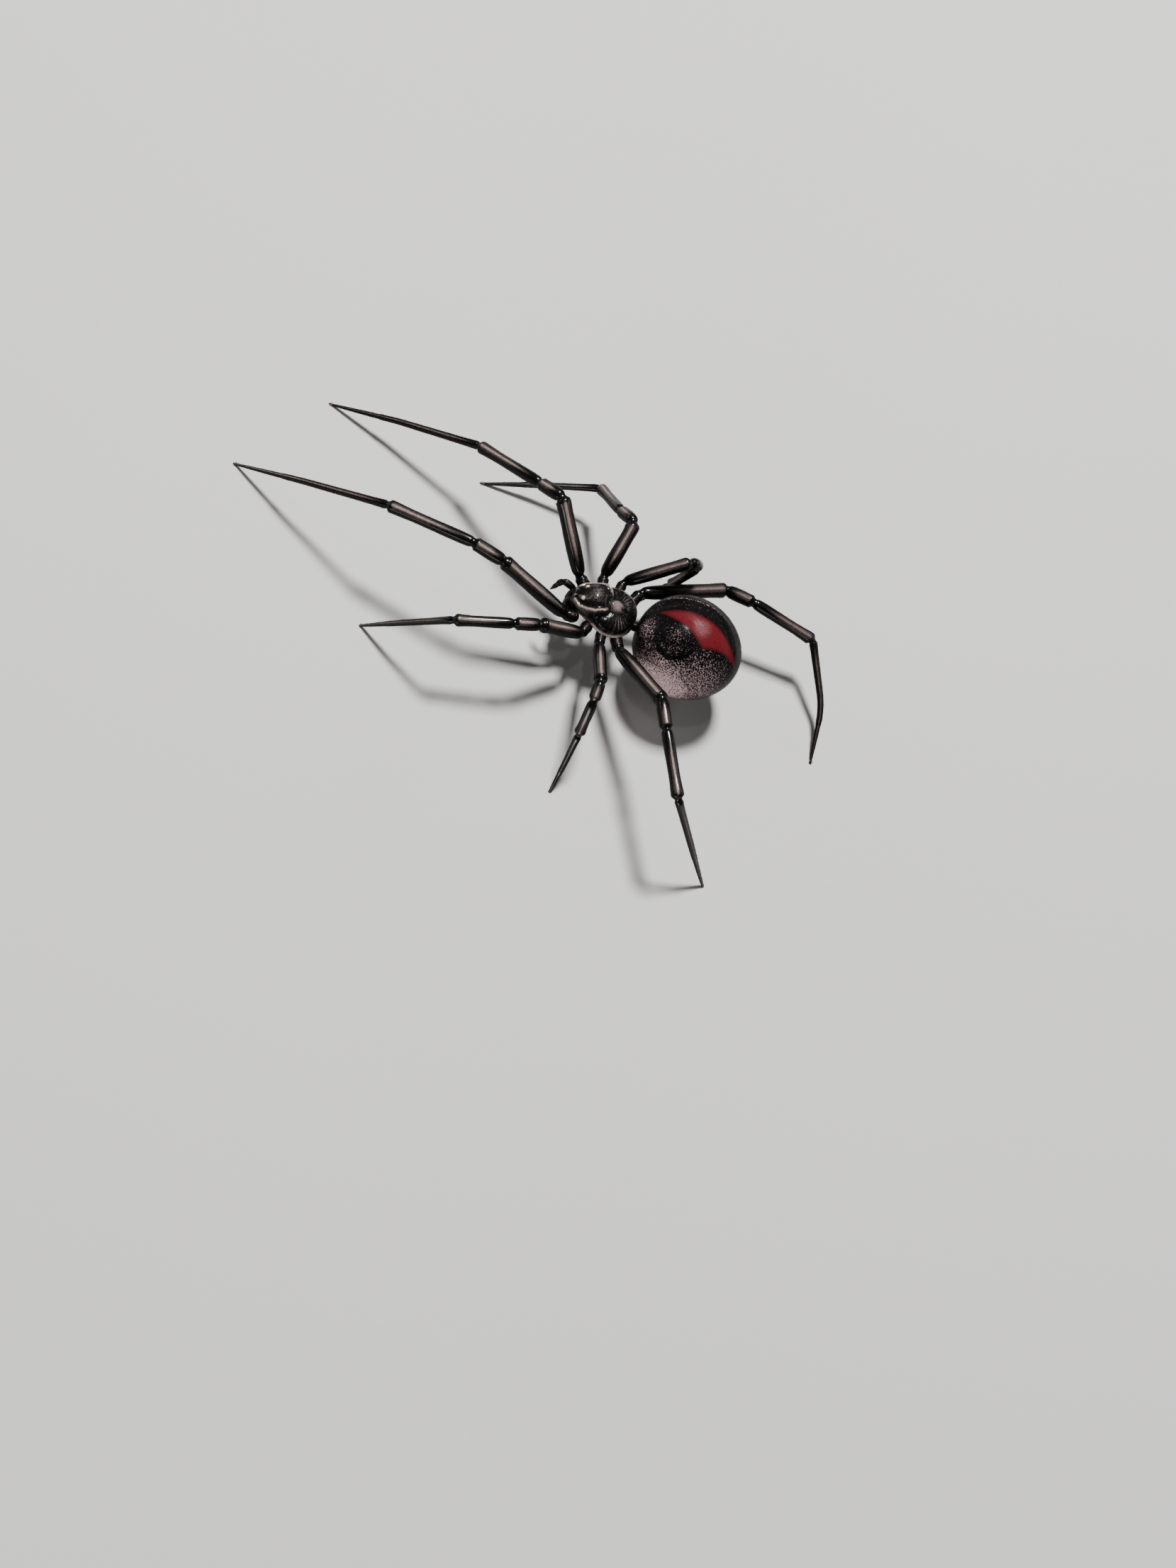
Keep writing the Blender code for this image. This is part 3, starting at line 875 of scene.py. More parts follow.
@dataclass(frozen=True)
class ShellFinish:
    """Black, finely pitted cuticle, glossier on top, with a brown painted highlight on top and a pale
    painted highlight line on its raised edges and crests.
    """

    name: str
    dark: Colour = (0.0022, 0.0019, 0.0019)
    # warm is the colour of the brown painted highlight, pale that of the pale painted highlight line.
    warm: Colour = (0.062, 0.045, 0.042)
    pale: Colour = (0.42, 0.32, 0.29)
    pit: float = 0.065
    pit_depth: float = 0.004
    cloud: float = 0.9
    shine: float = 0.7
    side_shine: float = 0.12
    pit_dulling: float = 0.5
    pit_cover: float = 0.8
    highlight_by_cloud: Trend = Trend(0.3, 1.1)
    highlight_line_strength: Trend = Trend(0.45, 0.9)
    highlight_line_grain: Flat = (0.34, 0.6)
    roughness: Trend = Trend(0.42, 0.15)

    def material(self) -> bpy.types.Material:
        """Build the finish, which reads the painted tones "joint", "edge" and "top" that place its painted
        highlights.

        Returns:
            The material.
        """
        graph = Graph(self.name)
        place = graph.body_place()
        # Brown painted highlight, stippled and clouded, where the skin faces up and is not held black.
        top = graph.attribute("top")
        highlight_mask = graph.clamp(1.0 - graph.attribute("joint")) * top
        fine = graph.grain(place, self.pit)
        cloud = graph.grain(place, self.cloud)
        stipple = graph.stippled(place, self.pit, self.pit_cover * highlight_mask)
        share = graph.clamp(highlight_mask * stipple * self.highlight_by_cloud.along(cloud))
        # Pale painted highlight line along raised edges and crests.
        strength = self.highlight_line_strength.along(graph.step(fine, *self.highlight_line_grain))
        edge = graph.clamp(graph.attribute("edge") * strength)
        colour = graph.mix(edge, graph.mix(share, self.dark, self.warm), self.pale)
        gloss = self.shine * Trend(self.side_shine, 1.0 - self.side_shine).along(top)
        gloss = gloss * (1.0 - self.pit_dulling * stipple)
        pits = 0.6 * graph.cells(place, self.pit * 1.6) + 0.4 * fine
        return graph.close(
            colour, self.roughness.along(cloud), pits, self.pit_depth, gloss,
            Coat_Roughness=0.13, Specular_IOR_Level=0.06,
        )


@dataclass(frozen=True)
class Circle:
    """A circle in the slanted plan in which the abdomen's marking is drawn."""

    centre: Flat
    radius: float


@dataclass(frozen=True)
class Glow:
    """A painted highlight on the skin: its middle, its inner and outer reach, and its strength."""

    middle: Flat3
    inner: float
    outer: float
    strength: float


@dataclass(frozen=True)
class AbdomenFinish:
    """Black abdomen skin with stippled painted highlights, a red mark above with a painted highlight spot,
    and an hourglass below.

    Its places are seen from the abdomen's centre.
    """

    name: str = "abdomen_skin"
    dark: Colour = (0.0022, 0.002, 0.0024)
    # Colour of the stippled painted highlight.
    bloom: Colour = (0.50, 0.35, 0.36)
    red: Colour = (0.125, 0.009, 0.014)
    # Colour of the painted highlight spot in the red mark.
    red_highlight: Colour = (0.20, 0.07, 0.075)
    deep_red: Colour = (0.05, 0.003, 0.004)
    dot: float = 0.095
    cloud: float = 2.2
    cloud_range: Flat = (0.3, 0.7)
    pore: float = 0.14
    pore_depth: float = 0.007
    bloom_cover: float = 0.62
    bloom_strength: Trend = Trend(0.15, 0.95)
    bloom_cloud: Trend = Trend(0.9, 0.3)
    freckle_grain: Flat = (0.5, 0.36)
    freckle_strength: float = 0.5
    dusk_end: float = 0.04
    dusk_strength: float = 0.8
    roughness: Trend = Trend(0.5, 0.06)
    coat: Trend = Trend(0.07, -0.05)
    plan_slant: float = 0.25
    far_edge: Circle = Circle((3.38, -0.44), 4.87)
    near_edges: tuple[Circle, Circle] = (Circle((7.9, -4.59), 8.7), Circle((3.68, 2.45), 3.25))
    mark_floor: float = 1.0
    mark_rim: float = 0.06
    mark_dusk: float = 0.34
    mark_wobble: float = 0.08
    mark_wobble_length: float = 0.25
    # Painted highlight spot on the red mark, at the top of the abdomen.
    red_highlight_spot: Glow = Glow((0.35, 0.06, 3.5), 0.1, 0.9, 0.9)
    # Painted highlight: a thin pale line along the far rim, fading towards the rear and lower down.
    far_line: Circle = Circle((3.38, -0.44), 6.03)
    far_line_width: float = 0.15
    far_line_strength: float = 0.45
    far_line_end_y: Flat = (2.8, 0.2)
    far_line_end_z: Flat = (0.5, 2.0)
    # The painted highlights are weaker on the right side, away from the camera.
    far_side_share: float = 0.2
    far_side_x: Flat = (-0.5, 0.5)
    # Painted highlights: one on each flank and a second, fainter one higher up and further back.
    flanks: tuple[Glow, Glow] = (
        Glow((3.5, -0.9, -0.2), 0.2, 4.7, 1.0),
        Glow((3.2, 0.9, 0.9), 0.5, 4.0, 0.65),
    )
    # Painted highlights on each boss and at the front.
    highlight_spots: tuple[Glow, Glow] = (
        Glow((1.44, -1.38, 2.98), 0.1, 1.4, 0.33),
        Glow((0.95, -3.35, 1.5), 0.3, 1.4, 0.5),
    )
    # A dark gap in the flanks' painted highlights, ringing the boss.
    dome_ring: float = 1.55
    dome_ring_width: float = 0.3
    hourglass_half: float = 1.5
    hourglass_waist: float = 0.14
    hourglass_flare: float = 0.5
    hourglass_curve: float = 1.5
    hourglass_width_share: float = 0.8

    def _past(self, graph: Graph, place: Wire, circle: Circle) -> Wire:
        """Find how far outside a circle of the slanted plan a point is.

        Args:
            graph: The material's nodes.
            place: The shaded point.
            circle: The circle.

        Returns:
            The distance, below 0 inside the circle.
        """
        x, y, z = graph.split(place)
        return graph.circle(x - z * self.plan_slant, y, circle.centre) - circle.radius

    def _mark(self, graph: Graph, place: Wire) -> Wire:
        """Find how far inside the red mark a point is.

        Args:
            graph: The material's nodes.
            place: The shaded point.

        Returns:
            The depth, below 0 outside the mark.
        """
        depth = 0.0 - self._past(graph, place, self.far_edge)
        for edge in self.near_edges:
            depth = graph.least(depth, self._past(graph, place, edge))
        return graph.least(depth, graph.split(place)[2] - self.mark_floor)

    def _hourglass(self, graph: Graph, place: Wire) -> Wire:
        """Find how far inside the hourglass on the underside a point is.

        Args:
            graph: The material's nodes.
            place: The shaded point.

        Returns:
            The depth, below 0 outside the hourglass.
        """
        x, y, z = graph.split(place)
        away = abs(y)
        half_width = self.hourglass_waist + self.hourglass_flare * away**self.hourglass_curve
        reach = graph.circle(self.hourglass_width_share * x, away, (0.0, 0.0))
        depth = graph.least(half_width - abs(x), self.hourglass_half - reach)
        return graph.least(depth, -1.0 * z)

    def _glow(self, graph: Graph, place: Wire, glow: Glow) -> Wire:
        """Return the strength of one painted highlight at a point."""
        return graph.step(graph.near(place, glow.middle), glow.outer, glow.inner) * glow.strength

    def _highlight_tone(self, graph: Graph, place: Wire) -> Wire:
        """Find how strong the painted highlight is: on the flanks, each boss, the front and the far rim.

        Args:
            graph: The material's nodes.
            place: The shaded point.

        Returns:
            The strength of the painted highlight, from 0 to about 1.
        """
        x, y, z = graph.split(place)
        mirrored = graph.node("ShaderNodeCombineXYZ", inputs={0: abs(x), 1: y, 2: z})
        off_ring = abs(graph.near(mirrored, self.highlight_spots[0].middle) - self.dome_ring)
        flank, haze = (self._glow(graph, mirrored, glow) for glow in self.flanks)
        total = graph.most(flank, haze) * graph.step(off_ring, 0.0, self.dome_ring_width)
        for glow in self.highlight_spots:
            total = graph.most(total, self._glow(graph, mirrored, glow))
        near_side = graph.step(x, *self.far_side_x)
        total = total * (self.far_side_share + (1.0 - self.far_side_share) * near_side)
        line = graph.step(abs(self._past(graph, place, self.far_line)), self.far_line_width, 0.0)
        line = line * graph.step(y, *self.far_line_end_y) * graph.step(z, *self.far_line_end_z)
        return graph.most(total, line * self.far_line_strength)

    def material(self) -> bpy.types.Material:
        """Build the finish.

        Returns:
            The material.
        """
        graph = Graph(self.name)
        place = graph.from_point(graph.body_place(), ABDOMEN_CENTRE)
        fine = graph.grain(place, self.dot)
        cloud = graph.step(graph.grain(place, self.cloud), *self.cloud_range)
        # Stippled painted highlight over the black skin.
        highlight_tone = graph.clamp(self._highlight_tone(graph, place))
        between = graph.stippled(place, self.dot, self.bloom_cover * highlight_tone)
        bloom = between * self.bloom_strength.along(highlight_tone) * self.bloom_cloud.along(cloud)
        share = graph.clamp(bloom)
        skin = graph.mix(share, self.dark, self.bloom)

        wobble = (graph.grain(place, self.mark_wobble_length) - 0.5) * self.mark_wobble
        inside = graph.most(self._mark(graph, place), self._hourglass(graph, place)) + wobble
        mark = graph.step(inside, 0.0, self.mark_rim)
        freckles = graph.step(fine, *self.freckle_grain)
        dusk = graph.step(inside, self.mark_dusk, self.dusk_end) * self.dusk_strength
        red = graph.mix(dusk, self.red, self.deep_red)
        # Painted highlight spot in the red.
        red = graph.mix(self._glow(graph, place, self.red_highlight_spot), red, self.red_highlight)
        red = graph.mix(freckles * self.freckle_strength, red, self.deep_red)
        pores = 0.6 * graph.cells(place, self.pore) + 0.5 * fine
        return graph.close(
            graph.mix(mark, skin, red), self.roughness.along(cloud), pores, self.pore_depth,
            self.coat.along(mark), Coat_Roughness=0.22, Specular_IOR_Level=0.05,
        )


@dataclass(frozen=True)
class HornFinish:
    """Hard, smooth horn of fangs and claws, dark brown with redder tips."""

    name: str = "claw_horn"
    dark: Colour = (0.02, 0.008, 0.006)
    warm: Colour = (0.11, 0.03, 0.015)
    streak: float = 0.08
    streak_depth: float = 0.003
    tip_warmth: Trend = Trend(0.6, 0.6)
    roughness: Trend = Trend(0.14, 0.12)

    def material(self) -> bpy.types.Material:
        """Build the finish, which reads the painted tone "tip".

        Returns:
            The material.
        """
        graph = Graph(self.name)
        streaks = graph.grain(graph.body_place(), self.streak, stretch=0.6)
        share = graph.clamp(graph.attribute("tip") * self.tip_warmth.along(streaks))
        colour = graph.mix(share, self.dark, self.warm)
        roughness = self.roughness.along(streaks)
        return graph.close(
            colour, roughness, streaks, self.streak_depth, coat=0.5, Coat_Roughness=0.1
        )


@dataclass(frozen=True)
class EyeFinish:
    """A glossy lens, pearly in the middle of its gaze and black at its rim."""

    name: str
    pearl: Colour
    amber: Colour = (0.10, 0.055, 0.03)
    rim: Colour = (0.006, 0.005, 0.005)
    mottle: float = 0.05
    mottle_strength: float = 0.12
    amber_gaze: Flat = (0.25, 0.62)
    pearl_gaze: Flat = (0.55, 0.9)

    def material(self) -> bpy.types.Material:
        """Build the finish, which reads the painted tone "gaze".

        Returns:
            The material.
        """
        graph = Graph(self.name)
        mottle = graph.grain(graph.body_place(), self.mottle)
        gaze = graph.attribute("gaze") + (mottle - 0.5) * self.mottle_strength
        colour = graph.mix(graph.step(gaze, *self.amber_gaze), self.rim, self.amber)
        colour = graph.mix(graph.step(gaze, *self.pearl_gaze), colour, self.pearl)
        return graph.close(colour, roughness=0.07, coat=1.0, Coat_Roughness=0.03)


@dataclass(frozen=True)
class SetaFinish:
    """Fine black bristles, browner in places."""

    name: str = "bristles"
    dark: Colour = (0.002, 0.0018, 0.0018)
    brown: Colour = (0.010, 0.007, 0.006)
    cloud: float = 0.35
    brown_cloud: Flat = (0.35, 0.65)

    def material(self) -> bpy.types.Material:
        """Build the finish.

        Returns:
            The material.
        """
        graph = Graph(self.name)
        cloud = graph.grain(graph.body_place(), self.cloud, 1.0)
        colour = graph.mix(graph.step(cloud, *self.brown_cloud), self.dark, self.brown)
        return graph.close(colour, roughness=0.5, Specular_IOR_Level=0.1)


@dataclass(frozen=True)
class Seta:
    """One bristle: its root, the way it points, its length, and its place on the unwrap."""

    root: Vector
    direction: Vector
    length: float
    patch: Flat


@dataclass(frozen=True)
class SetaField:
    """Grows many bristles as one mesh of slender three-sided spikes."""

    thickness: float = 0.006
    sink: float = 0.03
    patch_size: float = 0.003

    def grow(self, name: str, setae: Sequence[Seta]) -> bpy.types.Object:
        """Build the bristles.

        Args:
            name: The piece's name.
            setae: The bristles.

        Returns:
            One object, whose bake map has a small patch at each root's place.
        """
        points: list[Vector] = []
        faces: list[tuple[int, ...]] = []
        patches: list[Flat] = []
        for seta in setae:
            side = seta.direction.orthogonal().normalized()
            foot = seta.root - seta.direction * self.sink
            a, b, c, tip = range(len(points), len(points) + 4)
            for corner in range(3):
                spoke = Matrix.Rotation(corner * math.tau / 3, 3, seta.direction) @ side
                points.append(placed(foot + spoke * self.thickness))
            points.append(placed(seta.root + seta.direction * seta.length))
            faces += [(a, b, tip), (b, c, tip), (c, a, tip), (a, c, b)]
            u, v = seta.patch
            patches += [(u, v), (u + self.patch_size, v), (u, v + self.patch_size)] * 4
        mesh = bpy.data.meshes.new(name)
        mesh.from_pydata(points, [], faces)
        layer = mesh.uv_layers.new(name="OFBake")
        layer.data.foreach_set("uv", [number for patch in patches for number in patch])
        mesh.shade_smooth()
        piece = bpy.data.objects.new(name, mesh)
        bpy.context.collection.objects.link(piece)
        return piece


@dataclass(frozen=True)
class LimbCoat:
    """How bristles stand on a limb: all lean to its tip."""

    per_mm: float
    length: float
    lean: Flat = (0.18, 0.5)
    length_spread: Flat = (0.5, 1.15)
    depth_share: float = 0.97

    def spread(self, path: BentPath, radii: Stations, run: Flat, chance: random.Random) -> list[Seta]:
        """Spread the bristles along a run of the limb.

        Args:
            path: The limb's middle line.
            radii: The limb's radius by distance along the path.
            run: The distances at which the bristles start and end.
            chance: The source of the random draws.

        Returns:
            The bristles that stay clear of the floor.
        """
        made = []
        for _ in range(round((run[1] - run[0]) * self.per_mm)):
            place = chance.uniform(*run)
            radius = smooth(radii, place)
            onward = path.direction(place)
            turn = chance.uniform(0.0, math.tau)
            outward = Matrix.Rotation(turn, 3, onward) @ onward.orthogonal().normalized()
            lean = chance.uniform(*self.lean)
            direction = (outward * lean + onward * (1.1 - lean)).normalized()
            reach = self.length * chance.uniform(*self.length_spread) * (0.6 + radius)
            root = path.at(place) + outward * (radius * self.depth_share)
            if root.z + min(direction.z, 0.0) * reach > FLOOR_CLEARANCE:
                made.append(Seta(root, direction, reach, (place / path.length, turn / math.tau)))
        return made


@dataclass(frozen=True)
class LegPair:
    """What the two legs of a pair share."""

    lengths: tuple[float, float, float, float]
    hip: Flat
    root: Flat
    stoutness: float


@dataclass(frozen=True)
class LegPose:
    """How one leg is held: headings from straight ahead, rises, reach and bow, and how pale its painted
    highlight line is.
    """

    headings: tuple[float, float, float, float]
    rises: Flat3
    reach: float
    bow: float = FOOT_BOW
    highlight_line: float = HIGHLIGHT_LINE


LEG_PAIRS = {
    1: LegPair((6.15, 2.3, 6.2, 12.45), (1.75, -4.7), (1.2, -3.8), 1.0),
    2: LegPair((4.25, 1.95, 4.3, 8.3), (2.6, -3.1), (1.3, -2.8), 0.94),
    3: LegPair((4.8, 1.5, 2.8, 4.75), (2.85, -1.65), (1.3, -1.8), 0.86),
    4: LegPair((6.65, 2.15, 5.05, 8.55), (2.6, -0.25), (1.2, -0.8), 0.98),
}
LEG_POSES = {
    (Side.LEFT, 1): LegPose((4, -5, -5, -13), (31, 5, -9), 1.05),
    (Side.RIGHT, 1): LegPose((39, 29, 27, 7), (40, -25, -24), 0.95),
    (Side.LEFT, 2): LegPose((36, 26, 22, -4), (29, 1, -5), 0.99),
    (Side.RIGHT, 2): LegPose((97, 46, 61, -13), (36, -35, -38), 1.03),
    (Side.LEFT, 3): LegPose((101, 94, 95, 89), (27, -20, -57), 0.99),
    (Side.RIGHT, 3): LegPose((151, 135, -34, -30), (33, -44, -58), 1.04, highlight_line=0.4),
    (Side.LEFT, 4): LegPose((129, 117, 119, 168), (30, -2, -5), 1.02),
    (Side.RIGHT, 4): LegPose((147, 193, 181, 245), (-4, 18, -11), 1.02, 0.09, 0.35),
}


@dataclass(frozen=True)
class Segment:
    """One segment of a leg: its radii along its length, and how hairy it is."""

    name: str
    radii: Stations
    hair: float


SEGMENTS = (
    Segment("coxa", ((0.0, 0.36), (0.45, 0.5), (0.7, 0.41), (0.8, 0.45), (1.0, 0.4)), 0.4),
    Segment("femur", ((0.0, 0.4), (0.08, 0.5), (0.35, 0.56), (0.8, 0.53), (0.95, 0.56), (1.0, 0.52)), 0.8),
    Segment("patella", ((0.0, 0.46), (0.3, 0.51), (0.75, 0.5), (1.0, 0.46)), 0.8),
    Segment("tibia", ((0.0, 0.4), (0.15, 0.44), (0.7, 0.42), (0.95, 0.47), (1.0, 0.44)), 1.0),
    Segment("foot", ((0.0, 0.33), (0.1, 0.29), (0.55, 0.23), (0.68, 0.19), (0.88, 0.12), (1.0, 0.06)), 1.1),
)
LAST_SEGMENT = len(SEGMENTS) - 1


@dataclass
class Leg:
    """One leg: a continuous skin with collars and membranes at its joints, claws and bristles.

    A collar opens a segment and a lip ends it, as (distance, share of the full radius). The
    claws' moves go along the foot, to the side and up.
    """

    side: Side
    number: int
    shell: bpy.types.Material
    horn: bpy.types.Material
    bristle: bpy.types.Material
    sides: int = 18
    ring_spacing: float = 0.34
    root_collar: Stations = ((0.0, 1.0), (0.14, 1.0))
    collar: Stations = ((0.0, 0.84), (0.06, 0.95), (0.16, 1.0))
    lip: Stations = ((0.36, 1.0), (0.17, 1.05), (0.05, 1.05), (0.0, 0.93))
    toe_lip: Stations = ((0.3, 1.0), (0.0, 1.0))
    membrane: float = 0.8
    tarsus_share: float = 0.64
    tarsus_step: tuple[Swell, Swell] = (Swell(0.1, 0.02, -0.02), Swell(-0.16, 0.012, 0.012))
    # How far the painted highlight is held back: partly on the coxa, on the foot at its start and more
    # towards its tip, and on each other segment at its start and very end.
    coxa_black: float = 0.6
    foot_clears: Flat = (0.0, 0.2)
    foot_tone: float = 0.6
    foot_fade: float = 0.6
    clears: Flat = (0.08, 0.6)
    blackens: Flat = (1.0, 0.94)
    touch_share: float = 0.9
    halvings: int = 30
    hairs_per_mm: float = 130.0
    hair_length: float = 0.2
    hair_thickness: float = 0.0055
    claw_root: Flat3 = (-0.22, 0.03, 0.03)
    claw_reach: Flat3 = (0.2, 0.07, 0.1)
    claw_hook: Flat3 = (0.16, 0.03, -0.09)
    claw_bend: float = 0.3
    claw_radii: Stations = ((0.0, 0.035), (0.6, 0.024), (1.0, 0.005))
    claw_black: float = 0.7

    @property
    def label(self) -> str:
        """Return the leg's name as the frame spells it."""
        return f"{self.side.word}_{self.number}"

    def build(self) -> None:
        """Build and dress the skin, the claws and the bristles."""
        path = self._path()
        rings = self._rings(path)
        skin = grow_skin(f"leg_{self.label}_skin", rings, self.sides)
        cut_at_floor(skin)
        self._paint(skin, path)
        nodes = [f"leg_{self.label}_{segment.name}" for segment in SEGMENTS]
        finish_piece(skin, self.shell, nodes)
        self._build_claws(path)
        setae = SetaField(self.hair_thickness).grow(f"leg_{self.label}_setae", self._setae(path, rings))
        finish_piece(setae, self.bristle)

    def _heading(self, yaw: float, pitch: float) -> Vector:
        """Find a direction.

        Args:
            yaw: The heading from straight ahead, in degrees outwards.
            pitch: The rise above level, in degrees.

        Returns:
            The direction on this leg's side.
        """
        turn, climb = math.radians(yaw), math.radians(pitch)
        level = math.cos(climb)
        return self.side.mirror((math.sin(turn) * level, -math.cos(turn) * level, math.sin(climb)))

    def _path(self) -> BentPath:
        """Lay the leg's middle line.

        Returns:
            The path, from the leg's root in the body to below its tip.
        """
        pair, pose = LEG_PAIRS[self.number], LEG_POSES[self.side, self.number]
        lengths = [length * pose.reach for length in pair.lengths]
        joints = [self.side.mirror((*pair.root, COXA_ROOT_HEIGHT))]
        joints.append(self.side.mirror((*pair.hip, HIP_HEIGHT)))
        for length, yaw, pitch in zip(lengths, pose.headings, pose.rises):
            joints.append(joints[-1] + self._heading(yaw, pitch) * length)
        drop = math.degrees(math.asin(joints[-1].z / lengths[-1]))
        tip = joints[-1] + self._heading(pose.headings[-1], -drop) * lengths[-1]
        chord = tip - joints[-1]
        onward = (joints[-1] - joints[-2]).normalized()
        outward = (onward - onward.project(chord)).normalized()
        ankle = joints[-1] + chord * ANKLE_SHARE + outward * (pose.bow * chord.length)
        toe = tip + (tip - ankle).normalized() * FOOT_OVERRUN
        radii = [BEND_RADIUS] * (len(joints) - 1) + [ANKLE_BEND_RADIUS]
        return BentPath([*joints, ankle, toe], radii)

    def _segment_ends(self, path: BentPath) -> list[Flat]:
        """Find where each segment starts and ends.

        Args:
            path: The leg's middle line.

        Returns:
            The two distances along the path for each segment.
        """
        middles = path.bends[:-1]
        half = JOINT_GAP / 2
        starts = [0.0, *(middle + half for middle in middles)]
        ends = [*(middle - half for middle in middles), path.length]
        return list(zip(starts, ends))

    def _places(self, start: float, end: float, index: int) -> Iterator[Flat]:
        """Place the rings of a segment.

        Args:
            start: Where the segment starts along the path.
            end: Where it ends.
            index: The segment's number.

        Yields:
            Each ring's distance along the path and its share of the full radius.
        """
        collar = self.collar if index else self.root_collar
        lip = self.lip if index < LAST_SEGMENT else self.toe_lip
        for offset, share in collar:
            yield start + offset, share
        inner_start = start + collar[-1][0] + self.ring_spacing / 2
        inner_end = end - lip[0][0] - self.ring_spacing / 2
        count = max(2, round((inner_end - inner_start) / self.ring_spacing))
        for number in range(count + 1):
            yield inner_start + (inner_end - inner_start) * number / count, 1.0
        for offset, share in lip:
            yield end - offset, share

    def _rings(self, path: BentPath) -> list[Ring]:
        """Work out every cross section of the leg.

        Args:
            path: The leg's middle line.

        Returns:
            The rings in order, with a narrow membrane at each joint.
        """
        stoutness = LEG_PAIRS[self.number].stoutness
        rings: list[Ring] = []
        for index, (segment, (start, end)) in enumerate(zip(SEGMENTS, self._segment_ends(path))):
            if index:
                membrane = segment.radii[0][1] * stoutness * self.membrane
                rings.append(path.ring(start - JOINT_GAP / 2, membrane))
            for place, share in self._places(start, end, index):
                along = (place - start) / (end - start)
                radius = smooth(segment.radii, along) * share * stoutness
                if index == LAST_SEGMENT:
                    radius *= 1.0 + relief(self.tarsus_step, along - self.tarsus_share)
                rings.append(path.ring(place, radius))
        return rings

    def _paint(self, skin: bpy.types.Object, path: BentPath) -> None:
        """Paint the skin.

        Args:
            skin: The skin.
            path: The leg's middle line.
        """
        finder = PlaceFinder(path)
        ends = self._segment_ends(path)
        paint_limb(
            skin,
            lambda point: self._blackness(ends, finder.find(point)),
            lambda point: path.direction(finder.find(point)),
            LEG_POSES[self.side, self.number].highlight_line,
        )

    def _blackness(self, ends: Sequence[Flat], place: float) -> float:
        """Find how black the skin stays, holding back the painted highlight: most where a segment starts and
        at its very end.

        Args:
            ends: Where each segment starts and ends.
            place: The distance along the path.

        Returns:
            The blackness, from 0 to 1.
        """
        index = next((number for number, (_, end) in enumerate(ends) if place <= end), LAST_SEGMENT)
        start, end = ends[index]
        share = (place - start) / (end - start)
        if index == 0:
            return self.coxa_black
        if index == LAST_SEGMENT:
            return 1.0 - self.foot_tone * step(*self.foot_clears, share) * (1.0 - self.foot_fade * share)
        return 1.0 - step(*self.clears, share) * step(*self.blackens, share)

    def _build_claws(self, path: BentPath) -> None:
        """Build the two small hooked claws at the tip of the foot.

        Args:
            path: The leg's middle line.
        """
        tip = self._floor_place(path)
        onward = path.direction(tip)
        level = onward.cross(UP).normalized()
        back, apart, lift = self.claw_root
        claws = []
        for sign in (-1.0, 1.0):
            root = path.at(tip + back) + level * (apart * sign) + UP * lift
            reach, hook = (
                onward * along + level * (aside * sign) + UP * up
                for along, aside, up in (self.claw_reach, self.claw_hook)
            )
            claw_path = BentPath([root, root + reach, root + reach + hook], [self.claw_bend])
            claws.append(taper("claw", claw_path, self.claw_radii, count=7, sides=6))
        claw = join_pieces(f"leg_{self.label}_claws", claws)
        cut_at_floor(claw)
        paint_points(claw, "tip", lambda point: self.claw_black)
        finish_piece(claw, self.horn)

    def _floor_place(self, path: BentPath) -> float:
        """Find where the path meets the floor, by halving.

        Args:
            path: The leg's middle line.

        Returns:
            The distance along the path.
        """
        low, high = path.length * self.touch_share, path.length
        for _ in range(self.halvings):
            middle = (low + high) / 2
            if path.at(middle).z > 0.0:
                low = middle
            else:
                high = middle
        return low

    def _setae(self, path: BentPath, rings: Sequence[Ring]) -> list[Seta]:
        """Spread bristles over each segment.

        Args:
            path: The leg's middle line.
            rings: Its cross sections.

        Returns:
            The bristles.
        """
        chance = random.Random(self.number * 10 + self.side.value)
        radii = tuple((ring.distance, ring.radius) for ring in rings)
        made = []
        for segment, run in zip(SEGMENTS, self._segment_ends(path)):
            coat = LimbCoat(self.hairs_per_mm * segment.hair, self.hair_length)
            made += coat.spread(path, radii, run, chance)
        return made


@dataclass(frozen=True)
class BodyCoat:
    """How the bristles of a rounded piece stand: their sway, their lift off it and their length."""

    seed: int
    hairs: int
    sway: float
    lift: Flat
    length: Flat
    lean: float = 0.8


def on_ball(y: float, turn: float) -> Vector:
    """Find a point of the unit ball's skin.

    Args:
        y: Its Y.
        turn: Its turn about the Y axis.

    Returns:
        The point.
    """
    ring = math.sqrt(1.0 - y * y)
    return Vector((ring * math.cos(turn), y, ring * math.sin(turn)))


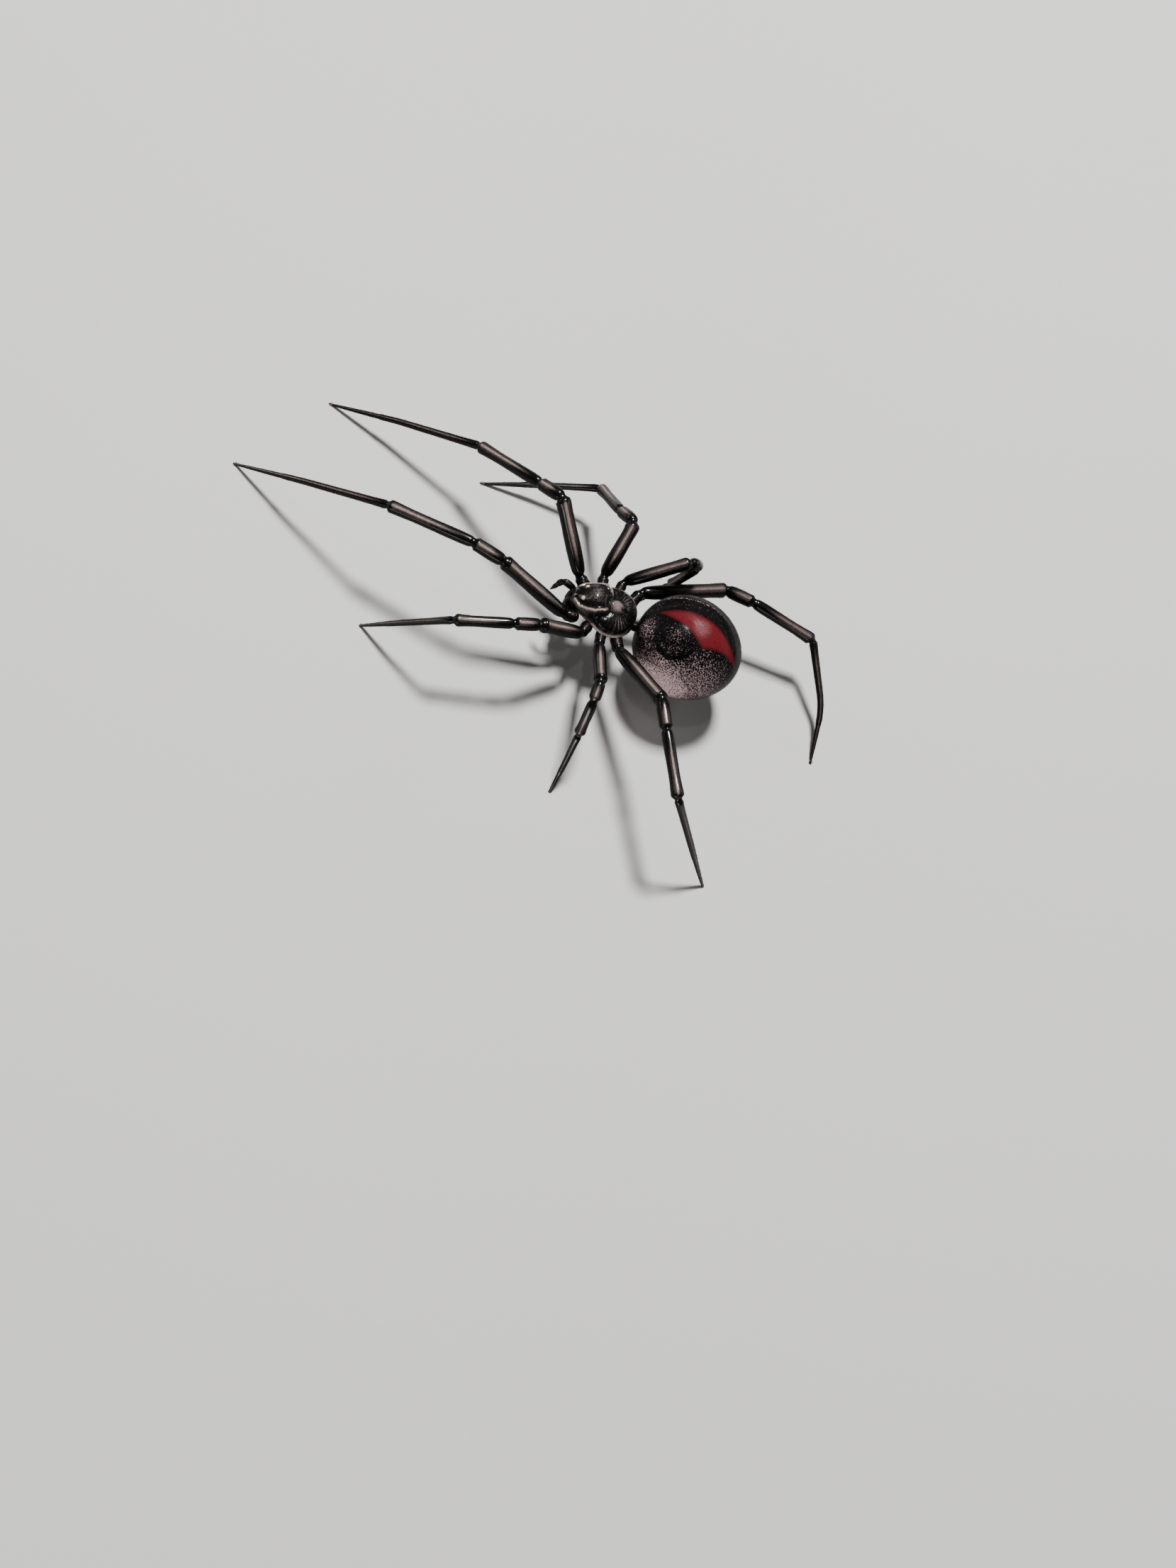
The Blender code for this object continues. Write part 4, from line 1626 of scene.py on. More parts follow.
@dataclass
class FrontBody:
    """The fused head and thorax, with its raised rims and its bristles.

    Lines and middles are given on the plan, for the left side. Each pair that fades a form in
    or out holds the places where it is gone and where it is full.
    """

    shell: bpy.types.Material
    bristle: bpy.types.Material
    segments: int = 224
    rings: int = 156
    crowding: float = 0.27
    end_lean: float = 0.25
    margin: tuple[Swell, Swell] = (Swell(0.11, 0.1, 0.02), Swell(-0.05, 0.1, 0.24))
    under_margin: Swell = Swell(-0.07, 0.12, -0.2)
    top_fade: Flat = (0.05, 0.35)
    dome_y: float = -3.3
    dome: Swell = Swell(-0.1, 0.6)
    neck_line: tuple[Flat, ...] = (
        (1.75, -2.9), (1.4, -2.45), (1.05, -1.95), (0.62, -1.8), (0.35, -2.1), (-0.05, -2.25),
    )
    neck_groove: Swell = Swell(-0.13, 0.17)
    knob_y: float = -1.55
    knob_height: float = 0.15
    knob_radius: float = 0.5
    pit_y: float = -1.02
    pit_across: Swell = Swell(-0.13, 0.13)
    pit_half_length: float = 0.24
    furrows: int = 9
    furrow_depth: float = 0.05
    strokes: int = 34
    stroke_height: float = 0.018
    fan_inner: Flat = (0.5, 0.8)
    fan_outer: Flat = (2.2, 1.5)
    fan_front: Flat = (-2.4, -1.9)
    head_rim: tuple[Flat, ...] = (
        (0.6, -4.5), (1.02, -4.07), (1.17, -3.47), (1.2, -2.9), (0.9, -2.3), (0.56, -2.05),
    )
    head_rim_lift: tuple[Swell, Swell] = (Swell(0.22, 0.13), Swell(-0.03, 0.1, 0.3))
    head_rim_way: Flat = (0.35, 0.94)
    head_rim_low: Flat = (0.1, 0.35)
    head_rim_rear: Flat = (-1.95, -2.5)
    sternum_y: float = -2.3
    sternum_half: Flat = (0.95, 1.55)
    sternum_level: float = -0.5
    sternum_height: float = 0.08
    sternum_slope: float = 0.16
    sternum_sink: float = 0.03
    # Painted highlight: a pale line along the margin and along the head's raised rims.
    margin_highlight: Swell = Swell(1.0, 0.09, 0.03)
    margin_highlight_front: Flat = (-4.3, -3.4)
    margin_highlight_rear: Flat = (0.0, -0.8)
    rim_highlight: Swell = Swell(1.0, 0.075)
    rim_highlight_low: Flat = (0.15, 0.4)
    rim_highlight_rear: Flat = (-1.95, -2.4)
    # Brown painted highlight on the head's dome, the knob and, hatched, the rear of the thorax; the rest of
    # the top stays mostly black.
    dome_highlight_y: float = -3.2
    dome_highlight: Swell = Swell(0.66, 0.75)
    rear_highlight: Swell = Swell(0.85, 0.65)
    rear_highlight_middle: Flat = (0.95, -0.95)
    knob_highlight_spread: float = 0.3
    least_highlight: float = 0.12
    under_black: float = 0.8
    coat: BodyCoat = BodyCoat(seed=11, hairs=1500, sway=0.2, lift=(0.25, 0.6), length=(0.06, 0.16))
    hair_end_y: float = 0.97
    hair_splay_y: float = 0.3
    face_y: float = -0.7
    face_lean: float = -0.6

    def build(self) -> None:
        """Build the carved body and its bristles."""
        body = carve_ball("front_body_skin", self.form, self.segments, self.rings)
        # Painted highlights: brown on the dome, knob and rear, pale along the rims.
        paint_shell(body, self._blackness, self._highlight_tone, (0.2, 0.9))
        finish_piece(body, self.shell, ["cephalothorax"])
        finish_piece(SetaField().grow("front_body_setae", self._setae()), self.bristle)

    def form(self, unit: Vector) -> Vector:
        """Take a unit point to the front body's carved surface.

        Args:
            unit: The unit point.

        Returns:
            Its place in the body frame.
        """
        share = (unit.y + 1.0) / 2.0
        angle = math.atan2(unit.z, unit.x)
        angle -= self.crowding * math.sin(2.0 * angle)
        reach = max(0.0, 1.0 - abs(unit.y) ** BLUNTNESS) ** (1.0 / BLUNTNESS)
        point = self._plain(share, angle, reach)
        outward = Vector((math.cos(angle), self.end_lean * unit.y**5, math.sin(angle)))
        is_top = unit.z >= 0.0
        carved = point + outward * self._relief(point, is_top) * min(1.0, reach * 1.5)
        return carved + self._rim_lift(point) if is_top else carved

    def _plain(self, share: float, angle: float, reach: float) -> Vector:
        """Find a point of the form that the frame's node has.

        Args:
            share: The place along the body, as a share of its length.
            angle: The turn about the body's axis, from its left side upwards.
            reach: The section's size there, as a share of its full one.

        Returns:
            The point.
        """
        half_width = smooth(CARAPACE_HALF_WIDTHS, share) * CARAPACE_WIDTH / 2
        across, up = math.cos(angle), math.sin(angle)
        if up >= 0.0:
            height = smooth(CARAPACE_TOPS, share) * up
        else:
            height = smooth(CARAPACE_DEPTHS, share) * up
            across *= 1.0 - STERNUM_TAPER * up * up
        y = HEAD_FRONT_Y + CARAPACE_LENGTH * share
        return Vector((half_width * across * reach, y, RIM_HEIGHT + height * reach))

    def _relief(self, point: Vector, is_top: bool) -> float:
        """Find how far the surface stands out from the plain form.

        Args:
            point: The point of the plain form.
            is_top: Whether it is above the body's rim.

        Returns:
            The height of the relief.
        """
        across, above = abs(point.x), point.z - RIM_HEIGHT
        margin = relief(self.margin, above)
        if not is_top:
            return margin + self.under_margin.at(above) + self._sternum(across, point.y, above)
        knob = bell(math.hypot(point.x, point.y - self.knob_y) ** 2, self.knob_radius**2)
        carved = (
            self.dome.at(math.hypot(point.x, point.y - self.dome_y))
            + self.neck_groove.at(distance_to_line(self.neck_line, across, point.y))
            + self.knob_height * knob
            + self.pit_across.at(point.x) * bell(point.y - self.pit_y, self.pit_half_length)
            + self._fan(across, point.y - self.knob_y) * step(*self.fan_front, point.y)
        )
        return margin + carved * step(*self.top_fade, above)

    def _fan(self, across: float, behind: float) -> float:
        """Find the height of the furrows and fine strokes that fan out from the knob.

        Args:
            across: How far a point is to the side of the knob.
            behind: How far it is behind the knob.

        Returns:
            The height.
        """
        around, reach = math.atan2(across, behind), math.hypot(across, behind)
        furrow = max(0.0, math.cos(self.furrows * around)) ** 3
        stroke = math.cos(self.strokes * around)
        fade = step(*self.fan_inner, reach) * step(*self.fan_outer, reach)
        return fade * (self.stroke_height * stroke - self.furrow_depth * furrow)

    def _sternum(self, across: float, y: float, above: float) -> float:
        """Find the low relief of the breastplate on the underside.

        Args:
            across: A point's distance from the middle.
            y: Its Y.
            above: Its height above the rim.

        Returns:
            The height of the relief.
        """
        if above > self.sternum_level:
            return 0.0
        half_width, half_length = self.sternum_half
        half = half_width * math.sqrt(max(0.0, 1.0 - ((y - self.sternum_y) / half_length) ** 2))
        return self.sternum_height * step(half, half - self.sternum_slope, across) - self.sternum_sink

    def _rim_lift(self, point: Vector) -> Vector:
        """Find how far the head's two rims are raised.

        Args:
            point: A point of the plain form.

        Returns:
            The move, up and a little outwards.
        """
        height = relief(self.head_rim_lift, distance_to_line(self.head_rim, abs(point.x), point.y))
        outward, up = self.head_rim_way
        way = Vector((math.copysign(outward, point.x), 0.0, up))
        low = step(*self.head_rim_low, point.z - RIM_HEIGHT)
        return way * height * low * step(*self.head_rim_rear, point.y)

    def _highlight_tone(self, point: Vector) -> float:
        """Find how strong the pale painted highlight along the margin and the head's raised rims is.

        Args:
            point: The point.

        Returns:
            The strength of the painted highlight, from 0 to 1.
        """
        above = point.z - RIM_HEIGHT
        margin = self.margin_highlight.at(above) * step(*self.margin_highlight_front, point.y)
        margin *= step(*self.margin_highlight_rear, point.y)
        if above < self.rim_highlight_low[0]:
            return margin
        rim = self.rim_highlight.at(distance_to_line(self.head_rim, abs(point.x), point.y))
        return max(margin, rim * step(*self.rim_highlight_low, above) * step(*self.rim_highlight_rear, point.y))

    def _blackness(self, point: Vector) -> float:
        """Find how black the skin stays, the rest taking the brown painted highlight: on the head's dome,
        the knob and the rear.

        Args:
            point: The point.

        Returns:
            The blackness, from 0 to 1.
        """
        if point.z < RIM_HEIGHT:
            return self.under_black
        behind = point.y - self.knob_y
        dome = self.dome_highlight.at(math.hypot(point.x, point.y - self.dome_highlight_y))
        knob = bell(math.hypot(point.x, behind) ** 2, self.knob_highlight_spread)
        hatch = 0.5 + 0.5 * math.cos(self.strokes * math.atan2(abs(point.x), behind))
        rear_x, rear_y = self.rear_highlight_middle
        rear = hatch * self.rear_highlight.at(math.hypot(abs(point.x) - rear_x, point.y - rear_y))
        return 1.0 - max(dome, knob, rear, self.least_highlight)

    def _setae(self) -> list[Seta]:
        """Spread sparse short bristles, leaning to the rear.

        Returns:
            The bristles.
        """
        coat = self.coat
        chance = random.Random(coat.seed)
        made = []
        for _ in range(coat.hairs):
            y = chance.uniform(-self.hair_end_y, self.hair_end_y)
            turn = chance.uniform(0.0, math.tau)
            unit = on_ball(y, turn)
            outward = Vector((unit.x, self.hair_splay_y * unit.y, unit.z)).normalized()
            lean = 1.0 if unit.y > self.face_y else self.face_lean
            onward = Vector((chance.uniform(-coat.sway, coat.sway), lean, 0.0))
            direction = (outward * chance.uniform(*coat.lift) + onward * coat.lean).normalized()
            patch = (turn / math.tau, (y + 1.0) / 2.0)
            made.append(Seta(self.form(unit), direction, chance.uniform(*coat.length), patch))
        return made


@dataclass
class Waist:
    """The short ringed stalk between the front body and the abdomen."""

    shell: bpy.types.Material
    half_length: float = 0.75
    rings: int = 19
    sides: int = 16
    radius: float = 0.35
    ripple: float = 0.03
    ripples: float = 24.0
    # How black the skin stays, holding back the brown painted highlight on its top.
    black: float = 0.8

    def build(self) -> None:
        """Build and dress the stalk."""
        onward = Vector((0.0, 1.0, 0.0))
        rings = []
        for index in range(self.rings):
            y = -self.half_length + 2.0 * self.half_length * index / (self.rings - 1)
            radius = self.radius + self.ripple * math.cos(y * self.ripples)
            rings.append(Ring(y, Vector((0.0, y, WAIST_HEIGHT)), onward, radius))
        stalk = grow_skin("waist_skin", rings, self.sides)
        paint_shell(stalk, lambda point: self.black)
        finish_piece(stalk, self.shell, ["pedicel"])


@dataclass(frozen=True)
class Lobe:
    """A rounded lobe under the head, which slants inwards to its front."""

    name: str
    middle: Vector
    half: Vector
    slant: float = 0.0
    narrowing: float = 0.25
    groove: Swell = Swell(-0.06, 0.3)

    def form(self, unit: Vector) -> Vector:
        """Take a unit point to the lobe's surface.

        Args:
            unit: The unit point.

        Returns:
            Its place in the body frame.
        """
        bulge = Vector((unit.x * (1.0 - self.narrowing * unit.y), unit.y, unit.z))
        point = Vector(a * b for a, b in zip(bulge, self.half))
        groove = self.groove.at(unit.x) * step(0.2, -0.6, unit.z)
        return self.middle + point + Vector((self.slant * point.y, 0.0, groove))


@dataclass
class MouthFloor:
    """The lower lip and the two jaw lobes under the head."""

    shell: bpy.types.Material
    labium: Lobe = Lobe("labium", Vector((0.0, -3.86, 3.42)), Vector((0.26, 0.3, 0.24)))
    maxilla_middle: Flat3 = (0.4, -4.1, 3.45)
    maxilla_half: Flat3 = (0.22, 0.46, 0.26)
    maxilla_slant: float = 0.21
    segments: int = 32
    rings: int = 24
    # How black the skin stays, holding back the brown painted highlight on its top.
    black: float = 0.5

    def build(self) -> None:
        """Build and dress the lobes."""
        lobes = [self.labium]
        for side in Side:
            middle = side.mirror(self.maxilla_middle)
            slant = self.maxilla_slant * side.value
            lobes.append(Lobe(f"maxilla_{side.word}", middle, Vector(self.maxilla_half), slant))
        for lobe in lobes:
            piece = carve_ball(f"{lobe.name}_skin", lobe.form, self.segments, self.rings)
            paint_shell(piece, lambda point: self.black)
            finish_piece(piece, self.shell)


@dataclass
class Abdomen:
    """The globe of the abdomen, with soft folds and a bristle coat.

    Its folds are given on the plan, seen from its centre.
    """

    skin: bpy.types.Material
    bristle: bpy.types.Material
    segments: int = 176
    rings: int = 132
    top_fade: Flat = (0.6, 2.4)
    boss: Flat = (1.44, -1.38)
    boss_height: float = 0.14
    boss_spread: float = 1.1
    boss_groove: Swell = Swell(-0.07, 0.3, 1.45)
    fold_centre: Flat = (2.4, -0.8)
    fold_radius: float = 4.4
    fold: tuple[Swell, Swell] = (Swell(0.07, 0.3), Swell(-0.05, 0.32, -0.6))
    dimples: tuple[Flat, ...] = ((0.45, -1.7), (0.6, 0.1))
    dimple: Swell = Swell(-0.02, 0.14)
    belly_y: float = -2.2
    belly_squash: float = 1.6
    belly_fold: Swell = Swell(-0.05, 0.25, 1.3)
    coat: BodyCoat = BodyCoat(seed=7, hairs=6000, sway=0.3, lift=(0.3, 0.6), length=(0.07, 0.16))
    hair_drift_y: float = 0.035
    hair_drift: float = 0.04
    hair_end_y: float = 0.999
    least_ring: float = 0.1

    def build(self) -> None:
        """Build the globe and its bristles."""
        globe = carve_ball("abdomen_skin", self.form, self.segments, self.rings)
        finish_piece(globe, self.skin, ["abdomen"])
        finish_piece(SetaField().grow("abdomen_setae", self._setae()), self.bristle)

    def form(self, unit: Vector) -> Vector:
        """Take a unit point to the abdomen's carved surface.

        Args:
            unit: The unit point.

        Returns:
            Its place in the body frame.
        """
        fullness = 1.0 - ABDOMEN_REAR_TAPER * unit.y
        offset = Vector((unit.x * fullness, unit.y, unit.z * fullness))
        point = Vector(a * b for a, b in zip(offset, ABDOMEN_HALF))
        return ABDOMEN_CENTRE + point + unit * self._relief(point)

    def _relief(self, point: Vector) -> float:
        """Find how far the skin's soft folds stand out from the plain globe.

        Args:
            point: The globe's point, seen from its centre.

        Returns:
            The height of the relief.
        """
        if point.z < 0.0:
            return self.belly_fold.at(math.hypot(point.x, (point.y - self.belly_y) * self.belly_squash))
        boss = math.hypot(point.x - self.boss[0], point.y - self.boss[1])
        fold = math.hypot(point.x - self.fold_centre[0], point.y - self.fold_centre[1]) - self.fold_radius
        lift = self.boss_height * bell(boss**2, self.boss_spread) + self.boss_groove.at(boss)
        lift += relief(self.fold, fold)
        lift += sum(self.dimple.at(math.hypot(abs(point.x) - x, point.y - y)) for x, y in self.dimples)
        return lift * step(*self.top_fade, point.z)

    def _setae(self) -> list[Seta]:
        """Spread short bristles evenly over the globe, all leaning to the rear.

        Returns:
            The bristles.
        """
        coat = self.coat
        chance = random.Random(coat.seed)
        golden = math.pi * (3.0 - math.sqrt(5.0))
        made = []
        for index in range(coat.hairs):
            y = 1.0 - 2.0 * (index + 0.5) / coat.hairs
            y += chance.uniform(-self.hair_drift_y, self.hair_drift_y)
            y = min(max(y, -self.hair_end_y), self.hair_end_y)
            drift = chance.uniform(-self.hair_drift, self.hair_drift)
            turn = index * golden + drift / max(math.sqrt(1.0 - y * y), self.least_ring)
            unit = on_ball(y, turn)
            sideways = chance.uniform(-coat.sway, coat.sway)
            lean = Vector((sideways, 1.0, chance.uniform(-coat.sway, coat.sway)))
            flat = lean - lean.project(unit)
            direction = (unit * chance.uniform(*coat.lift) + flat * coat.lean).normalized()
            length = chance.uniform(*coat.length)
            patch = ((turn / math.tau) % 1.0, (y + 1.0) / 2.0)
            made.append(Seta(self.form(unit), direction, length, patch))
        return made


@dataclass
class Spinnerets:
    """The ringed base and the six cones of the spinnerets, low on the abdomen's rear.

    The cones' places are distances along the axis and away from it.
    """

    shell: bpy.types.Material
    abdomen: Abdomen
    slope: float = -52.0
    base_run: Flat = (-0.6, 0.62)
    base_radii: Stations = ((0.0, 0.62), (0.5, 0.56), (0.72, 0.6), (0.9, 0.5), (1.0, 0.3))
    cones: int = 6
    cone_root: Flat = (0.25, 0.29)
    cone_elbow: Flat = (0.9, 0.3)
    cone_tip: Flat = (0.28, -0.12)
    cone_bend: float = 0.4
    cone_radii: Stations = ((0.0, 0.2), (0.45, 0.21), (0.6, 0.16), (0.85, 0.14), (1.0, 0.05))
    # How black the skin stays, holding back the brown painted highlight on its top.
    black: float = 0.35

    def build(self) -> None:
        """Build and dress the base with its cones."""
        slope = math.radians(self.slope)
        axis = Vector((0.0, math.cos(slope), math.sin(slope)))
        across = Vector((1.0, 0.0, 0.0))
        upward = axis.cross(across).normalized()
        foot = self.abdomen.form(axis)
        base = BentPath([foot + axis * end for end in self.base_run])
        parts = [taper("base", base, self.base_radii, count=14, sides=20)]
        for index in range(self.cones):
            turn = math.tau * (index + 0.5) / self.cones
            spoke = across * math.cos(turn) + upward * math.sin(turn)
            root = foot + axis * self.cone_root[0] + spoke * self.cone_root[1]
            elbow = foot + axis * self.cone_elbow[0] + spoke * self.cone_elbow[1]
            tip = elbow + axis * self.cone_tip[0] + spoke * self.cone_tip[1]
            path = BentPath([root, elbow, tip], [self.cone_bend])
            parts.append(taper("cone", path, self.cone_radii, count=12, sides=10))
        piece = join_pieces("spinnerets_skin", parts)
        paint_shell(piece, lambda point: self.black)
        finish_piece(piece, self.shell, ["spinnerets"])


@dataclass
class Mouth:
    """One side's chelicera, fang and pedipalp, with their places given for the left side."""

    side: Side
    shell: bpy.types.Material
    horn: bpy.types.Material
    bristle: bpy.types.Material
    chelicera_top: Flat3 = (0.36, -4.55, 4.55)
    chelicera_foot: Flat3 = (0.3, -4.85, 3.2)
    chelicera_radii: Stations = (
        (0.0, 0.1), (0.1, 0.26), (0.3, 0.35), (0.6, 0.33), (0.85, 0.26), (0.96, 0.2), (1.0, 0.12),
    )
    fang_sink: float = 0.05
    fang_heel: Flat3 = (-0.03, 0.0, -0.25)
    fang_tip: Flat3 = (-0.14, 0.42, -0.12)
    fang_radii: Stations = ((0.0, 0.16), (0.25, 0.17), (0.6, 0.11), (0.9, 0.045), (1.0, 0.012))
    palp_root: Flat3 = (0.62, -3.95, 3.45)
    palp_elbow: Flat3 = (0.98, -4.7, 3.8)
    palp_knee: Flat3 = (1.0, -5.6, 4.2)
    palp_tip: Flat3 = (0.75, -6.15, 2.8)
    palp_radii: Stations = (
        (0.0, 0.22), (0.22, 0.25), (0.27, 0.2), (0.33, 0.25), (0.52, 0.27), (0.57, 0.21),
        (0.62, 0.25), (0.7, 0.23), (0.74, 0.18), (0.8, 0.19), (0.92, 0.1), (1.0, 0.02),
    )
    palp_joints: Flat3 = (0.27, 0.57, 0.74)
    palp_joint_width: float = 0.35
    left_reach: float = 0.85
    hair_run: Flat = (0.15, 0.95)
    hair_length: float = 0.22
    chelicera_hairs_per_mm: float = 55.0
    palp_hairs_per_mm: float = 80.0
    # How black the skin stays, holding back the brown painted highlight on its top.
    chelicera_black: float = 0.5
    fang_warm_height: float = 0.2

    def build(self) -> None:
        """Build and dress the pieces of this side."""
        top, foot = self.side.mirror(self.chelicera_top), self.side.mirror(self.chelicera_foot)
        path = BentPath([top, foot])
        name = f"chelicera_{self.side.word}"
        piece = taper(f"{name}_skin", path, self.chelicera_radii, count=22, sides=18)
        paint_shell(piece, lambda point: self.chelicera_black)
        finish_piece(piece, self.shell, [name])
        density = self.chelicera_hairs_per_mm
        self._build_bristles("chelicera", path, self.chelicera_radii, density)
        self._build_fang(foot, (foot - top).normalized())
        self._build_palp()

    def _build_bristles(
        self, part: str, path: BentPath, radii: Stations, per_mm: float
    ) -> None:
        """Build the bristles of a mouth part.

        Args:
            part: The part's name.
            path: Its middle line.
            radii: Its radius by share of the path's length.
            per_mm: How many bristles stand on each millimetre.
        """
        chance = random.Random(len(part) * 10 + self.side.value)
        along = tuple((share * path.length, radius) for share, radius in radii)
        run = tuple(share * path.length for share in self.hair_run)
        setae = LimbCoat(per_mm, self.hair_length).spread(path, along, run, chance)
        piece = SetaField().grow(f"{part}_{self.side.word}_setae", setae)
        finish_piece(piece, self.bristle)

    def _build_fang(self, foot: Vector, onward: Vector) -> None:
        """Build the curved fang, which folds inwards under the chelicera.

        Args:
            foot: The chelicera's foot.
            onward: The chelicera's direction.
        """
        heel = foot + onward * JOINT_GAP + self.side.mirror(self.fang_heel)
        tip = heel + self.side.mirror(self.fang_tip)
        path = BentPath([foot - onward * self.fang_sink, heel, tip], [BEND_RADIUS])
        piece = taper(f"fang_{self.side.word}_horn", path, self.fang_radii, count=14, sides=14)
        warm_top = heel.z + self.fang_warm_height
        paint_points(piece, "tip", lambda point: step(warm_top, tip.z, point.z))
        finish_piece(piece, self.horn, [f"fang_{self.side.word}"])

    def _build_palp(self) -> None:
        """Build the short feeler beside the mouth, with its joints and bristles."""
        reach = self.left_reach if self.side is Side.LEFT else 1.0
        root, elbow = self.side.mirror(self.palp_root), self.side.mirror(self.palp_elbow)
        knee, end = (
            elbow + (self.side.mirror(place) - elbow) * reach for place in (self.palp_knee, self.palp_tip)
        )
        path = BentPath([root, elbow, knee, end], [BEND_RADIUS] * 2)
        piece = taper(f"pedipalp_{self.side.word}_skin", path, self.palp_radii, count=52, sides=14)
        joints = [path.at(path.length * share) for share in self.palp_joints]
        width = self.palp_joint_width
        paint_shell(piece, lambda point: max(bell((point - joint).length, width) for joint in joints))
        finish_piece(piece, self.shell, [f"pedipalp_{self.side.word}"])
        self._build_bristles("pedipalp", path, self.palp_radii, self.palp_hairs_per_mm)


class EyeRow(Enum):
    """The eyes of one side, as the frame names them."""

    FRONT_MEDIAN = "front_median"
    FRONT_LATERAL = "front_lateral"
    REAR_MEDIAN = "rear_median"
    REAR_LATERAL = "rear_lateral"


@dataclass
class Eyes:
    """Eight eyes in two rows, the middle pair of the upper row large and pearly."""

    pearly: bpy.types.Material
    dark: bpy.types.Material
    head_share: float = 0.3

    def build(self) -> None:
        """Build each eye over the frame's own."""
        for side in Side:
            for row in EyeRow:
                finish = self.pearly if row is EyeRow.REAR_MEDIAN else self.dark
                self._build_eye(f"eye_{side.word}_{row.value}", finish)

    def _build_eye(self, node: str, material: bpy.types.Material) -> None:
        """Build one lens, which gazes straight away from the middle of the head.

        Args:
            node: The frame's node.
            material: The lens's finish.
        """
        low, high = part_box(node)
        centre = (low + high) / 2
        deselect_all()
        bpy.ops.mesh.primitive_uv_sphere_add(
            segments=32, ring_count=20, radius=(high.z - low.z) / 2, location=centre
        )
        lens = take_primitive(f"{node}_lens")
        bpy.ops.object.shade_smooth()
        middle = Vector((0.0, HEAD_FRONT_Y + self.head_share * CARAPACE_LENGTH, RIM_HEIGHT))
        seen = measured(centre)
        gaze = (seen - middle).normalized()
        paint_points(lens, "gaze", lambda point: (point - seen).normalized().dot(gaze))
        finish_piece(lens, material, [node])


@dataclass(frozen=True)
class Lamp:
    """A soft rectangular light: the way to it, its distance and size in metres, and its watts."""

    name: str
    way: Flat3
    distance: float
    size: Flat
    watts: float


